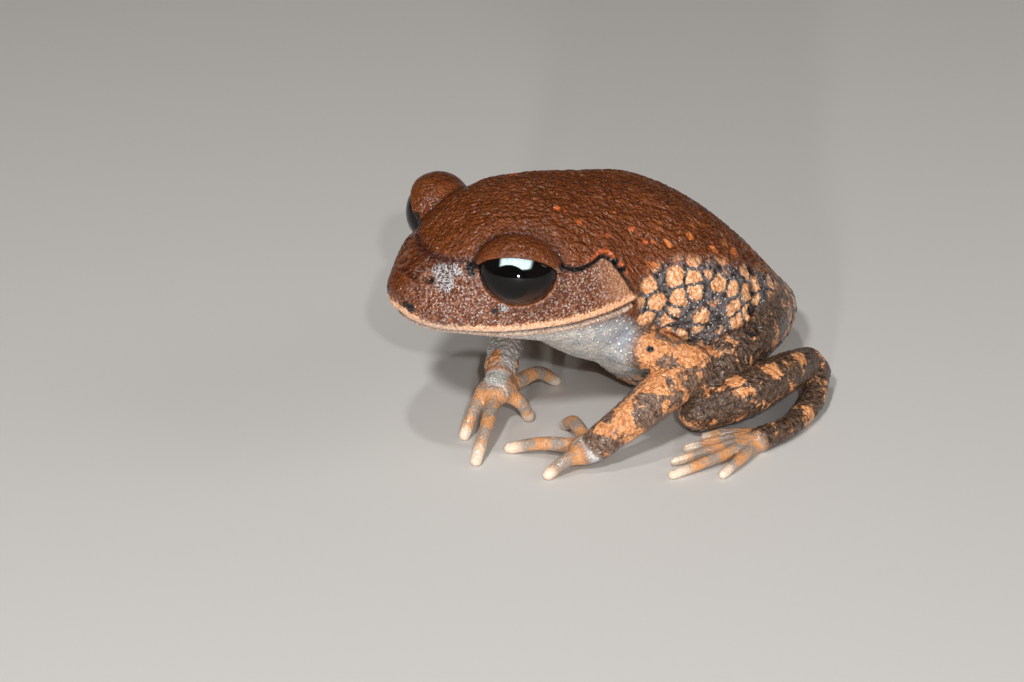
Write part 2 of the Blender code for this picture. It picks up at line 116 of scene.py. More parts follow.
FAR_ARM = {
    "upper": (
        (-6.2, 9.6, 10.6, 2.3),
        (-8.6, 10.0, 10.4, 2.25),
        (-11.0, 10.8, 9.3, 2.1),
        (-12.9, 11.9, 7.9, 2.0),
    ),
    "fore": (
        (-13.0, 12.0, 7.7, 2.1),
        (-10.0, 9.7, 7.1, 2.2),
        (-5.6, 6.4, 6.1, 1.9),
        (-1.6, 3.4, 4.8, 1.6),
    ),
    "palm": (0.8, 1.5, 3.8),
    "fingers": (
        ((0.9, 2.4, 3.5), (-1.2, 7.4, 3.2), (-3.0, 10.8, 0.48)),
        ((1.6, 2.4, 3.5), (2.4, 3.6, 2.2), (2.3, 4.4, 0.48)),
        ((1.8, 0.6, 3.4), (4.8, -2.0, 2.5), (7.4, -4.7, 0.48)),
        ((0.5, 0.0, 3.4), (1.5, -1.7, 2.4), (2.3, -3.2, 0.48)),
    ),
}
PALM_RADIUS = (1.9, 1.9, 1.15)
FINGER_RADII = (0.86, 0.68, 0.6)
WRIST_RADIUS = 1.55
THIGH = ((4.4, 30.8, 7.6, 3.3), (8.0, 27.6, 7.4, 3.4), (10.9, 23.0, 6.4, 3.0), (12.5, 18.8, 4.4, 2.2))
SHANK = ((13.6, 18.0, 3.0, 2.15), (15.3, 22.5, 4.4, 2.3), (14.3, 27.8, 4.9, 2.05), (11.9, 32.6, 3.7, 1.6))
TARSUS = ((12.3, 33.4, 2.6, 1.5), (15.6, 30.6, 1.4, 1.25), (18.2, 26.0, 1.0, 1.15), (18.9, 22.1, 0.95, 1.3))
TOES = (
    ((17.2, 21.6, 0.8), (15.9, 19.4, 0.8), (14.9, 17.9, 0.4)),
    ((17.7, 21.0, 0.8), (16.9, 17.6, 0.9), (15.9, 15.1, 0.4)),
    ((18.3, 20.6, 0.8), (18.2, 16.2, 0.9), (17.5, 12.6, 0.4)),
    ((18.9, 20.6, 0.8), (19.7, 15.6, 0.9), (19.6, 11.0, 0.4)),
    ((19.2, 21.2, 0.8), (20.9, 18.2, 0.8), (22.0, 15.4, 0.4)),
)
TOE_RADII = (0.74, 0.58, 0.48)

# How softly each piece joins the rest: at its root, further along, and the root's share of its length
BLENDS = {
    "upper": (0.9, 0.3, 0.5),
    "fore": (0.9, 0.25, 0.2),
    "wrist": (0.5, 0.5, 0.25),
    "finger": (0.7, 0.12, 0.4),
    "thigh": (1.3, 0.4, 0.6),
    "shank": (0.8, 0.25, 0.15),
    "tarsus": (0.7, 0.25, 0.2),
    "toe": (0.6, 0.12, 0.4),
}
LID_BLEND = 0.7
PALM_BLEND = 0.7

# Where the toad's own millimetres lie in the frame: midway between the eyes
eye_corners = np.array([*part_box("eye_l"), *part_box("eye_r")])
SHIFT = eye_corners.mean(axis=0) / MM - EYE_CENTRE * (0, 1, 1)

# Camera: azimuth, height angle, distance, and where a point between the eyes lies in the photograph
AZIMUTH = math.radians(60.0)
ELEVATION = math.radians(28.0)
DISTANCE = 300.0
FOCAL_PIXELS = 3000.0
IMAGE = (1024.0, 682.0)
EYES_PIXEL = (479.5, 236.0)
EYES_HEIGHT = 21.35
SENSOR_WIDTH = 36.0
CLIP_START = 0.01


def direction(azimuth, height):
    """The way from the toad towards a camera or a lamp."""
    flat = math.cos(height)
    return np.array([flat * math.sin(azimuth), -flat * math.cos(azimuth), math.sin(height)])


def camera_axes():
    side = np.array([math.cos(AZIMUTH), math.sin(AZIMUTH), 0.0])
    back = direction(AZIMUTH, ELEVATION)
    return side, np.cross(back, side), back


def make_camera():
    side, up, back = camera_axes()
    scale = DISTANCE / FOCAL_PIXELS
    target = np.array([0.0, 0.0, EYES_HEIGHT]) + SHIFT
    target += side * (IMAGE[0] / 2 - EYES_PIXEL[0]) * scale
    target -= up * (IMAGE[1] / 2 - EYES_PIXEL[1]) * scale
    data = bpy.data.cameras.new("camera")
    data.sensor_width = SENSOR_WIDTH
    data.lens = FOCAL_PIXELS * SENSOR_WIDTH / IMAGE[0]
    data.clip_start = CLIP_START
    camera = bpy.data.objects.new("camera", data)
    place = Matrix.Translation(Vector((target + back * DISTANCE) * MM))
    camera.matrix_world = place @ Matrix(np.array([side, up, back]).T).to_4x4()
    bpy.context.scene.collection.objects.link(camera)
    bpy.context.scene.camera = camera


# The field: a signed distance in millimetres on a regular grid, negative inside the toad
FULL_CELL = 0.24
CELL = FULL_CELL
LOW = np.array([-23.6, -12.2, -1.2])
HIGH = np.array([23.6, 40.0, 26.8])
FAR = 3.0
TRUNK_STEPS = 12
LIMB_STEPS = 6
LINE_STEPS = 5


def spline(points, steps):
    """A smooth curve through points, with a given number of steps between each two."""
    given = np.array(points, float)
    ends = np.vstack([2 * given[0] - given[1], given, 2 * given[-1] - given[-2]])
    out = []
    for index in range(len(given) - 1):
        before, start, end, after = ends[index : index + 4]
        for t in np.arange(steps) / steps:
            out.append(
                0.5
                * (
                    2 * start
                    + (end - before) * t
                    + (2 * before - 5 * start + 4 * end - after) * t**2
                    + (3 * start - before - 3 * end + after) * t**3
                )
            )
    out.append(given[-1])
    return np.array(out)


def smoothstep(low, high, value):
    t = np.clip((value - low) / (high - low), 0.0, 1.0)
    return t * t * (3 - 2 * t)


def soft_min(a, b, k):
    """The smaller of two distances, blended where they differ by less than k."""
    h = np.maximum(k - np.abs(a - b), 0.0) / k
    return np.minimum(a, b) - h * h * k / 4


def soft_max(a, b, k):
    """The larger of two distances, blended in the same way."""
    return -soft_min(-a, -b, k)


SECTION_CURVE = spline(TRUNK, TRUNK_STEPS)


def section(y):
    """The trunk's half width, the height where it is widest, its top and its bottom at y."""
    return [np.interp(y, SECTION_CURVE[:, 0], SECTION_CURVE[:, column]) for column in range(1, 5)]


def upper_roundness(y):
    return np.interp(y, (JAW_END_Y, BELLY_START_Y), (BROW_ROUNDNESS, FLANK_ROUNDNESS))


def lower_roundness(y):
    return np.interp(y, (JAW_END_Y, BELLY_START_Y), (JAW_ROUNDNESS, FLANK_ROUNDNESS))


# The trunk's own values past which its distances aren't needed
MOST_VALUE = 12.0
LEAST_SLOPE = 0.04

# Room left around a shape for its blend, the blends of the lids' edges, the socket and the floor, and
# the step over which the field's slope is measured
CHAIN_MARGIN = 0.6
BALL_MARGIN = 1.0
EYE_REGION = 6.0
LID_CORNER_BLEND = 0.3
LID_EDGE_BLEND = 0.22
SOCKET_GAP = 0.02
SOCKET_BLEND = 0.12
FLOOR_GAP = 0.02
FLOOR_BLEND = 0.12
SLOPE_STEP = 0.11


def eye_axes(out, y, z):
    """Offsets from an eye's centre in its own axes: outwards, back along the eye, and up."""
    across = out * math.cos(EYE_TURN) - y * math.sin(EYE_TURN)
    return across, out * math.sin(EYE_TURN) + y * math.cos(EYE_TURN), z


def ball_value(offsets, radii):
    """One on an ellipsoid, less inside it and more outside."""
    return np.sqrt(sum((offset / radius) ** 2 for offset, radius in zip(offsets, radii)))


class Field:
    """The grid, and the shapes added to it one after another."""

    def __init__(self):
        self.axes = [np.arange(low, high, CELL, dtype=np.float32) for low, high in zip(LOW, HIGH)]
        self.values = np.full([len(axis) for axis in self.axes], FAR, np.float32)

    def region(self, low, high):
        """The part of the grid inside a box: its slices, and its points' coordinates."""
        slices = []
        for axis, a, b in zip(self.axes, low, high):
            start, stop = np.searchsorted(axis, (a, b))
            slices.append(slice(start, stop))
        grids = np.meshgrid(*[axis[s] for axis, s in zip(self.axes, slices)], indexing="ij", sparse=True)
        return tuple(slices), grids

    def trunk(self):
        """The trunk's rounded sections, made into distances by their own slope."""
        y = self.axes[1][None, :, None]
        width, wide_z, top, bottom = section(y)
        rise = self.axes[2][None, None, :] - wide_z
        reach = np.where(rise > 0, top - wide_z, wide_z - bottom)
        power = np.where(rise > 0, 2 / upper_roundness(y), 2 / lower_roundness(y))
        x = np.abs(self.axes[0])[:, None, None]
        value = (x / width) ** power + (np.abs(rise) / reach) ** (2 / CROWN_ROUNDNESS)
        value = (np.minimum(value, MOST_VALUE) ** 0.5 - 1.0).astype(np.float32)
        length = np.sqrt(sum(slope**2 for slope in np.gradient(value, CELL)))
        distance = value / np.maximum(length, LEAST_SLOPE)
        outside = (self.axes[1] <= SNOUT_Y) | (self.axes[1] >= RUMP_Y)
        distance[:, outside, :] = FAR
        self.values = np.clip(distance, -FAR, FAR).astype(np.float32)

    def chain(self, points, blends):
        """Adds a round-ended tube through points with radii. Its root melts into what is there already."""
        blend_root, blend_rest, blend_share = blends
        path = np.array(points, float)
        margin = path[:, 3].max() + max(blend_root, blend_rest) + CHAIN_MARGIN
        low, high = path[:, :3].min(axis=0) - margin, path[:, :3].max(axis=0) + margin
        slices, (x, y, z) = self.region(low, high)
        steps = np.linalg.norm(np.diff(path[:, :3], axis=0), axis=1)
        along = np.concatenate([[0.0], np.cumsum(steps)]) / steps.sum()
        shape = self.values[slices].shape
        best = np.full(shape, 1e3, np.float32)
        place = np.zeros(shape, np.float32)
        for start, end, a, b in zip(path[:-1], path[1:], along[:-1], along[1:]):
            axis = end[:3] - start[:3]
            t = (x - start[0]) * axis[0] + (y - start[1]) * axis[1] + (z - start[2]) * axis[2]
            t = np.clip(t / (axis @ axis), 0.0, 1.0).astype(np.float32)
            gap = np.sqrt(
                (x - start[0] - t * axis[0]) ** 2
                + (y - start[1] - t * axis[1]) ** 2
                + (z - start[2] - t * axis[2]) ** 2
            ) - (start[3] + t * (end[3] - start[3]))
            nearer = gap < best
            best = np.where(nearer, gap, best)
            place = np.where(nearer, a + t * (b - a), place)
        k = blend_rest + (blend_root - blend_rest) * (1 - smoothstep(0.0, blend_share, place))
        self.values[slices] = soft_min(self.values[slices], best, k)

    def ellipsoid(self, centre, radii, blend, turn=0.0, subtract=False):
        """Adds an ellipsoid turned about Z, or takes it away."""
        radii = np.array(radii, float)
        margin = radii.max() + blend + BALL_MARGIN
        slices, (x, y, z) = self.region(np.array(centre) - margin, np.array(centre) + margin)
        dx, dy, dz = x - centre[0], y - centre[1], z - centre[2]
        u = dx * math.cos(turn) + dy * math.sin(turn)
        v = -dx * math.sin(turn) + dy * math.cos(turn)
        k0 = np.sqrt((u / radii[0]) ** 2 + (v / radii[1]) ** 2 + (dz / radii[2]) ** 2)
        k1 = np.sqrt((u / radii[0] ** 2) ** 2 + (v / radii[1] ** 2) ** 2 + (dz / radii[2] ** 2) ** 2)
        distance = k0 * (k0 - 1.0) / np.maximum(k1, 1e-6)
        if subtract:
            self.values[slices] = soft_max(self.values[slices], -distance, blend)
        else:
            self.values[slices] = soft_min(self.values[slices], distance, blend)

    def eye_opening(self, side):
        """Cuts the wedge between the edges of the two lids, and the hollow that holds the eye."""
        centre = EYE_CENTRE * (side, 1, 1)
        slices, (x, y, z) = self.region(centre - EYE_REGION, centre + EYE_REGION)
        across, long_way, rise = eye_axes(side * (x - centre[0]), y - centre[1], z - centre[2])
        out = across - LID_CORNER[0]
        up = rise - LID_CORNER[1]
        above = up * math.cos(UPPER_LID_ANGLE) - out * math.sin(UPPER_LID_ANGLE)
        below = out * math.sin(LOWER_LID_ANGLE) - up * math.cos(LOWER_LID_ANGLE)
        wedge = soft_max(above, below, LID_CORNER_BLEND)
        lids = EYE_RADII + LID_THICKNESS + WEDGE_DEPTH
        near = ball_value((across, long_way, rise), lids)
        wedge = soft_max(wedge, (near - 1.0) * lids[0], WEDGE_DEPTH)
        self.values[slices] = soft_max(self.values[slices], -wedge, LID_EDGE_BLEND)
        self.ellipsoid(centre, EYE_RADII + SOCKET_GAP, SOCKET_BLEND, -side * EYE_TURN, subtract=True)

    def floor(self):
        """Cuts all that would touch the floor flat, a little above it."""
        below = FLOOR_GAP - self.axes[2][None, None, :]
        self.values = soft_max(self.values, np.broadcast_to(below, self.values.shape), FLOOR_BLEND)

    def sample(self, points):
        """The field's value at any points, between its grid's."""
        place = (points - LOW) / CELL
        base = np.clip(np.floor(place).astype(int), 0, np.array(self.values.shape) - 2)
        share = (place - base).astype(np.float32)
        out = np.zeros(len(points), np.float32)
        for corner in np.ndindex(2, 2, 2):
            weight = np.ones(len(points), np.float32)
            for axis, high in enumerate(corner):
                weight *= share[:, axis] if high else 1 - share[:, axis]
            index = base + corner
            out += weight * self.values[index[:, 0], index[:, 1], index[:, 2]]
        return out

    def slope(self, points, step=SLOPE_STEP):
        """The direction in which the field rises, one unit long."""
        out = np.empty((len(points), 3), np.float32)
        for axis in range(3):
            offset = np.zeros(3)
            offset[axis] = step
            out[:, axis] = self.sample(points + offset) - self.sample(points - offset)
        return out / np.maximum(np.linalg.norm(out, axis=1, keepdims=True), 1e-9)


def limb(points):
    return spline(points, LIMB_STEPS)


def digit(points, radii):
    return spline([(*point, radius) for point, radius in zip(points, radii)], LIMB_STEPS)


def on_side(points, side):
    """A limb's points on the toad's left, side 1, or its right, side -1."""
    return tuple((side * point[0], *point[1:]) for point in points)


def toad_field():
    field = Field()
    field.trunk()
    for side in (1, -1):
        centre = EYE_CENTRE * (side, 1, 1)
        field.ellipsoid(centre, EYE_RADII + LID_THICKNESS, LID_BLEND, -side * EYE_TURN)
    for arm in (NEAR_ARM, FAR_ARM):
        field.chain(limb(arm["upper"]), BLENDS["upper"])
        field.chain(limb(arm["fore"]), BLENDS["fore"])
        wrist = (*arm["fore"][-1][:3], WRIST_RADIUS)
        field.chain(limb((wrist, (*arm["palm"], PALM_RADIUS[2]))), BLENDS["wrist"])
        field.ellipsoid(arm["palm"], PALM_RADIUS, PALM_BLEND)
        for points in arm["fingers"]:
            field.chain(digit(points, FINGER_RADII), BLENDS["finger"])
    for side in (1, -1):
        for name, points in (("thigh", THIGH), ("shank", SHANK), ("tarsus", TARSUS)):
            field.chain(limb(on_side(points, side)), BLENDS[name])
        for points in TOES:
            field.chain(digit(on_side(points, side), TOE_RADII), BLENDS["toe"])
    for side in (1, -1):
        field.eye_opening(side)
    field.floor()
    return field


def neighbours(axis):
    """Slices that pair each point of the grid with the next one along an axis."""
    low = [slice(None)] * 3
    high = [slice(None)] * 3
    low[axis] = slice(0, -1)
    high[axis] = slice(1, None)
    return tuple(low), tuple(high)


def surface_of(field):
    """One vertex in each cell that the surface crosses, and one quad across each grid edge that it cuts."""
    inside = field.values < 0
    shape = np.array(inside.shape) - 1
    count = np.zeros(shape, np.uint8)
    total = np.zeros((*shape, 3), np.float32)
    for axis in range(3):
        low, high = neighbours(axis)
        a, b = field.values[low], field.values[high]
        cut = inside[low] != inside[high]
        share = np.where(cut, a / np.where(cut, a - b, 1.0), 0.0)
        others = [other for other in range(3) if other != axis]
        for corner in np.ndindex(2, 2):
            window = [slice(None)] * 3
            for other, offset in zip(others, corner):
                window[other] = slice(offset, shape[other] + offset)
            window = tuple(window)
            here = cut[window]
            count += here
            total[..., axis] += np.where(here, share[window], 0.0)
            for other, offset in zip(others, corner):
                total[..., other] += np.where(here, float(offset), 0.0)
    used = count > 0
    number = np.full(shape, -1, np.int64)
    number[used] = np.arange(used.sum())
    cells = np.argwhere(used)
    points = LOW + CELL * (cells + total[used] / count[used][:, None])
    quads = []
    for axis in range(3):
        low, high = neighbours(axis)
        where = np.argwhere(inside[low] != inside[high])
        first, second = [other for other in range(3) if other != axis]
        where = where[(where[:, first] > 0) & (where[:, second] > 0)]
        ring = []
        for a, b in ((-1, -1), (0, -1), (0, 0), (-1, 0)):
            cell = where.copy()
            cell[:, first] += a
            cell[:, second] += b
            ring.append(number[cell[:, 0], cell[:, 1], cell[:, 2]])
        ring = np.stack(ring, axis=1)
        outward = inside[where[:, 0], where[:, 1], where[:, 2]]
        if axis == 1:
            outward = ~outward
        ring[~outward] = ring[~outward][:, ::-1]
        quads.append(ring)
    return points, np.concatenate(quads)


# How far each round of evening out goes, and the longest step back to the surface
MOVE_SHARE = 0.5
MOST_STEP = 0.1


def edges_of(quads):
    """Both ends of each quad's four edges: all first edges, then all second ones, and so on."""
    return np.concatenate([quads[:, [corner, (corner + 1) % 4]] for corner in range(4)])


def relaxed(field, points, quads, rounds):
    """Evens out the vertices along the surface and puts them back on it."""
    ends = edges_of(quads)
    count = np.bincount(ends.ravel(), minlength=len(points))[:, None]
    for _ in range(rounds):
        total = np.zeros_like(points)
        for column in range(3):
            total[:, column] = np.bincount(ends[:, 0], points[ends[:, 1], column], len(points))
            total[:, column] += np.bincount(ends[:, 1], points[ends[:, 0], column], len(points))
        move = total / count - points
        normal = field.slope(points)
        move -= normal * (move * normal).sum(axis=1, keepdims=True)
        points = points + MOVE_SHARE * move
        off = np.clip(field.sample(points), -MOST_STEP, MOST_STEP)
        points = points - field.slope(points) * off[:, None]
    return points


def mesh_of(name, points, faces):
    mesh = bpy.data.meshes.new(name)
    mesh.vertices.add(len(points))
    mesh.vertices.foreach_set("co", np.ascontiguousarray(points, np.float32).ravel())
    mesh.loops.add(faces.size)
    mesh.loops.foreach_set("vertex_index", np.ascontiguousarray(faces, np.int32).ravel())
    mesh.polygons.add(len(faces))
    mesh.polygons.foreach_set("loop_start", np.arange(0, faces.size, faces.shape[1], dtype=np.int32))
    mesh.update(calc_edges=True)
    mesh.validate()
    obj = bpy.data.objects.new(name, mesh)
    bpy.context.scene.collection.objects.link(obj)
    return obj


# Fixed noise, worked out from each lattice point's numbers alone
LATTICE_PRIMES = (73856093, 19349663, 83492791)
SALT_PRIME = 2654435761
LATTICE_OFFSET = 1000


def lattice_random(cells, salt):
    """Numbers from 0 to 1 that depend only on the lattice point and the salt."""
    mixed = np.uint64(0)
    for axis, prime in enumerate(LATTICE_PRIMES):
        mixed = mixed ^ (cells[..., axis] + LATTICE_OFFSET).astype(np.uint64) * np.uint64(prime)
    mixed = mixed + np.uint64(salt * SALT_PRIME)
    mixed = (mixed ^ (mixed >> np.uint64(15))) * np.uint64(2246822519)
    mixed = (mixed ^ (mixed >> np.uint64(13))) * np.uint64(3266489917)
    mixed = mixed ^ (mixed >> np.uint64(16))
    return (mixed & np.uint64(0xFFFFFF)).astype(np.float32) / 0xFFFFFF


def soft_noise(points, salt):
    """Smooth noise from 0 to 1 with features one unit wide."""
    base = np.floor(points).astype(np.int64)
    share = points - base
    share = share * share * (3 - 2 * share)
    out = np.zeros(len(points), np.float32)
    for corner in np.ndindex(2, 2, 2):
        weight = np.ones(len(points))
        for axis, high in enumerate(corner):
            weight *= share[:, axis] if high else 1 - share[:, axis]
        out += weight * lattice_random(base + corner, salt)
    return out


def creases(points, salt):
    """Zero along wandering lines, and up to one half between them."""
    return np.abs(soft_noise(points, salt) - 0.5)


def grains(points, salt):
    """The distance to the nearest of scattered centres, one in each unit cell."""
    base = np.floor(points).astype(np.int64)
    best = np.full(len(points), np.inf)
    for corner in np.ndindex(3, 3, 3):
        cell = base + corner - 1
        centre = [cell[:, axis] + lattice_random(cell, salt + axis) for axis in range(3)]
        best = np.minimum(best, sum((points[:, axis] - centre[axis]) ** 2 for axis in range(3)))
    return np.sqrt(best)


def bump_at(value, centre, width):
    return np.exp(-(((value - centre) / width) ** 2))


def along_side(points, line):
    """Signed distance above a line on the toad's side, and the share of the line's length."""
    curve = spline(line, LINE_STEPS)
    flat = points[:, 1:]
    best = np.full(len(points), np.inf)
    signed = np.zeros(len(points))
    place = np.zeros(len(points))
    steps = np.linalg.norm(np.diff(curve, axis=0), axis=1)
    lengths = np.concatenate([[0.0], np.cumsum(steps)]) / steps.sum()
    for a, b, start, end in zip(curve[:-1], curve[1:], lengths[:-1], lengths[1:]):
        axis = b - a
        t = np.clip(((flat - a) @ axis) / (axis @ axis), 0.0, 1.0)
        gap = flat - a - t[:, None] * axis
        distance = np.hypot(gap[:, 0], gap[:, 1])
        above = axis[0] * (flat[:, 1] - a[1]) - axis[1] * (flat[:, 0] - a[0]) > 0
        nearer = distance < best
        best = np.where(nearer, distance, best)
        signed = np.where(nearer, np.where(above, distance, -distance), signed)
        place = np.where(nearer, start + t * (end - start), place)
    return signed, place


def along_chain(points, path):
    """How far outside a limb's tube each point lies, and how far along the limb in millimetres."""
    reach = path[:, 3].max() + CHAIN_REACH
    near = np.all(points > path[:, :3].min(axis=0) - reach, axis=1)
    near &= np.all(points < path[:, :3].max(axis=0) + reach, axis=1)
    chosen = points[near]
    best = np.full(len(chosen), np.inf)
    place = np.zeros(len(chosen))
    length = 0.0
    for start, end in zip(path[:-1], path[1:]):
        axis = end[:3] - start[:3]
        t = np.clip(((chosen - start[:3]) @ axis) / (axis @ axis), 0.0, 1.0)
        gap = np.linalg.norm(chosen - start[:3] - t[:, None] * axis, axis=1)
        gap -= start[3] + t * (end[3] - start[3])
        nearer = gap < best
        best = np.where(nearer, gap, best)
        place = np.where(nearer, length + t * np.linalg.norm(axis), place)
        length += np.linalg.norm(axis)
    distance = np.full(len(points), np.inf)
    distance[near] = best
    along = np.zeros(len(points))
    along[near] = place
    return distance, along


# How far from a limb its marks are worked out, where they fade, and where each limb's bands start
CHAIN_REACH = 2.5
LIMB_EDGE = (0.15, 0.8)
SHOULDER_FADE = (2.6, 4.6)
TIP_FADE = (0.72, 0.95)
ARM_BANDS = {"upper": 0.0, "fore": 12.0, "finger": 30.0}
LEG_BANDS = {"thigh": 0.0, "shank": 16.0, "tarsus": 34.0, "toe": 50.0}
BAND_STARTS = {**ARM_BANDS, **LEG_BANDS}


def limb_chains():
    """Every limb and digit: what it counts as, its name and its curve."""
    chains = []
    for arm in (NEAR_ARM, FAR_ARM):
        chains += [("arm", name, limb(arm[name])) for name in ("upper", "fore")]
        chains += [("digit", "finger", digit(points, FINGER_RADII)) for points in arm["fingers"]]
    for side in (1, -1):
        for name, points in (("thigh", THIGH), ("shank", SHANK), ("tarsus", TARSUS)):
            chains.append(("leg", name, limb(on_side(points, side))))
        chains += [("digit", "toe", digit(on_side(points, side), TOE_RADII)) for points in TOES]
    return chains


def limb_marks(points):
    """For each vertex: how far it belongs to an arm, a leg and a digit, and its place along that limb."""
    marks = {name: np.zeros(len(points)) for name in ("arm", "leg", "digit", "band", "tip")}
    nearest = np.full(len(points), np.inf)
    for kind, name, path in limb_chains():
        distance, along = along_chain(points, path)
        share = 1 - smoothstep(*LIMB_EDGE, distance)
        if name == "upper":
            share *= smoothstep(*SHOULDER_FADE, along)
        marks[kind] = np.maximum(marks[kind], share)
        closer = distance < nearest
        nearest = np.where(closer, distance, nearest)
        marks["band"] = np.where(closer, along + BAND_STARTS[name], marks["band"])
        if kind == "digit":
            length = np.linalg.norm(np.diff(path[:, :3], axis=0), axis=1).sum()
            marks["tip"] = np.maximum(marks["tip"], share * smoothstep(*TIP_FADE, along / length))
    marks["limb"] = np.maximum(np.maximum(marks["arm"], marks["leg"]), marks["digit"])
    return marks


def offsets_from(points, place):
    """How far outwards, back and up each point lies from a place that both sides have."""
    return np.abs(points[:, 0]) - place[0], points[:, 1] - place[1], points[:, 2] - place[2]


def patches(points, spots):
    """The strongest of several ragged patches on both sides, each given by a place and a radius."""
    out = np.zeros(len(points))
    ragged = 0.55 + 0.5 * soft_noise(points * 1.7, 31) + 0.45 * soft_noise(points * 4.3, 37)
    for x, y, z, radius in spots:
        gap = ball_value(offsets_from(points, (x, y, z)), (1.0, 1.0, 1.0))
        out = np.maximum(out, 1 - smoothstep(0.75 * radius, 1.15 * radius, gap * ragged))
    return out


# Small marks on each side: x, y, z and radius
BLACK_MARKS = (
    (12.7, 12.4, 11.0, 0.42), (5.4, -4.2, 21.4, 0.55), (6.1, -3.8, 21.7, 0.6),
    (5.8, -4.2, 20.8, 0.4), (2.4, -9.2, 16.7, 0.5), (1.7, -9.4, 16.9, 0.4), (8.2, -2.9, 17.4, 0.4),
    (9.4, 10.0, 20.0, 0.4), (9.7, 10.7, 19.2, 0.35),
)
ORANGE_MARKS = (
    (4.4, 6.3, 24.5, 0.4), (4.9, 6.9, 24.3, 0.35), (6.4, 7.6, 23.5, 0.33), (7.8, 10.1, 22.2, 0.3),
    (7.2, 13.3, 21.9, 0.35), (8.3, 14.3, 20.8, 0.35),
)
# The hollow before the thigh: sunk in the relief, and painted dark as shade
GROIN = (
    (8.6, 27.3, 14.3, 0.8), (10.0, 26.6, 12.9, 0.9), (11.0, 26.1, 11.2, 1.0),
    (11.7, 25.6, 9.5, 1.0),
)
LIMB_SPOTS = (
    (12.5, 12.4, 10.9, 1.5), (14.1, 16.0, 10.0, 1.5), (14.9, 11.7, 8.2, 1.1), (14.6, 8.3, 6.4, 1.0),
    (14.4, 5.8, 4.6, 0.7), (15.4, 21.0, 6.3, 0.9), (15.9, 25.2, 6.6, 1.0), (14.6, 29.4, 6.2, 1.0),
)
GREY_PATCH = (
    (3.2, -6.4, 20.6, 1.1), (4.4, -5.5, 20.9, 0.9), (3.7, -6.9, 19.9, 1.0), (4.6, -6.4, 19.6, 0.9),
    (8.8, -2.2, 17.8, 0.5),
)

# Edges between the skin's zones: y and z of points along each
FACE_TOP = (
    (SNOUT_Y, 18.0), (-8.3, 19.2), (-7.4, 20.2), (-6.2, 21.2), (-4.6, 21.8), (-3.7, 22.1),
    (3.2, 22.1),
)
FACE_REAR = ((12.3, 15.9), (11.5, 17.5), (10.6, 19.2), (9.9, 20.5))
BELLY_TOP = ((-9.5, 15.0), (10.0, 14.5), (13.0, 12.2), (16.0, 8.5), (22.0, 6.0), (30.0, 4.0))
FLANK_TOP = (
    (11.5, 15.0), (12.6, 17.2), (15.0, 18.2), (18.0, 18.4), (22.0, 17.2), (26.0, 15.2),
    (31.0, 12.0), (36.0, 8.5),
)
FLANK_FRONT = ((14.5, 8.0), (12.2, 12.0), (12.4, 15.9), (11.9, 17.5), (11.2, 19.2))

# The black line under the ear fold: share of the fold's length and the line's width there
FOLD_LINE = ((0.0, 0.5), (0.12, 0.5), (0.3, 0.34), (0.55, 0.34), (0.7, 0.3), (1.0, 0.12))

# Where zones fade in or out, in millimetres. A span is two fades, and a band is a middle and a width
FACE_TOP_FADE = (-0.25, 0.25)
FACE_MOUTH_FADE = (-0.1, 0.15)
FACE_REAR_FADE = (-0.3, 0.3)
SNOUT_FADE = (-4.0, -2.5)
SNOUT_SPAN = ((-8.9, -8.0), (-4.4, -3.4))
RIGHT_FACE_FADE = (-1.5, 1.5)
RIGHT_FACE_DROP = 1.4
RIGHT_SNOUT_FADE = (-0.6, 0.6)
RIGHT_SNOUT_RISE = (16.8, 17.8)
RIDGE_BAND = (-0.18, 0.17)
UPPER_LIP_SPAN = ((-0.05, 0.1), (0.3, 1.5))
LOWER_LIP_SPAN = ((-0.75, -0.35), (-0.1, 0.02))
MOUTH_SHADE_BAND = (0.0, 0.14)
UPPER_LIP_END_Y = 11.8
LOWER_LIP_END_Y = 11.5
MOUTH_END_Y = 12.2
BELLY_FADE = (-1.0, 1.2)
FLANK_TOP_FADE = (-0.7, 0.9)
FLANK_FRONT_FADE = (-0.5, 0.5)
SHOULDER_BAND = (1.4, 1.6)
FOLD_REACH = 3.0
FOLD_LEAST_X = 4.0
FOLD_TOP_FADE = (-0.12, 0.05)
FOLD_EDGE_BAND = (0.18, 0.16)

# The same in shares of the ear fold's length, and in the black line's widths
FOLD_SPAN = ((0.0, 0.08), (0.9, 1.0))
FOLD_EDGE_SPAN = ((0.25, 0.45), (0.7, 0.8))
BLACK_END_FADE = (0.93, 1.0)
BLACK_LOW_FADE = (-1.5, -0.9)
# How dark the groin's hollow is painted, as painted shade
GROIN_PAINTED_SHADE = 0.8

# The same around the eye and the nostril, in their own radii, and rises from the eye's middle
LID_CREASE_BAND = (1.09, 0.05)
LID_CREASE_RISE = (-0.6, 0.8)
RIM_FADE = (1.03, 1.09)
RIM_DROP = (0.4, 1.8)
HOOD_FADE = (1.2, 1.65)
HOOD_RISE = (-1.5, 0.5)
SOCKET_FADE = (1.0, 1.06)
NOSTRIL_FADE = (0.2, 0.8)
NOSTRIL_RIM_BAND = (1.0, 0.2)


def curve_z(y, line):
    return np.interp(y, *np.array(line).T)


def curve_y(z, line):
    return np.interp(z, *np.array(line).T[::-1])


def between(value, low, high):
    """One from the first value to the second, and zero outside them, with a fade at each end."""
    return smoothstep(*low, value) * (1 - smoothstep(*high, value))


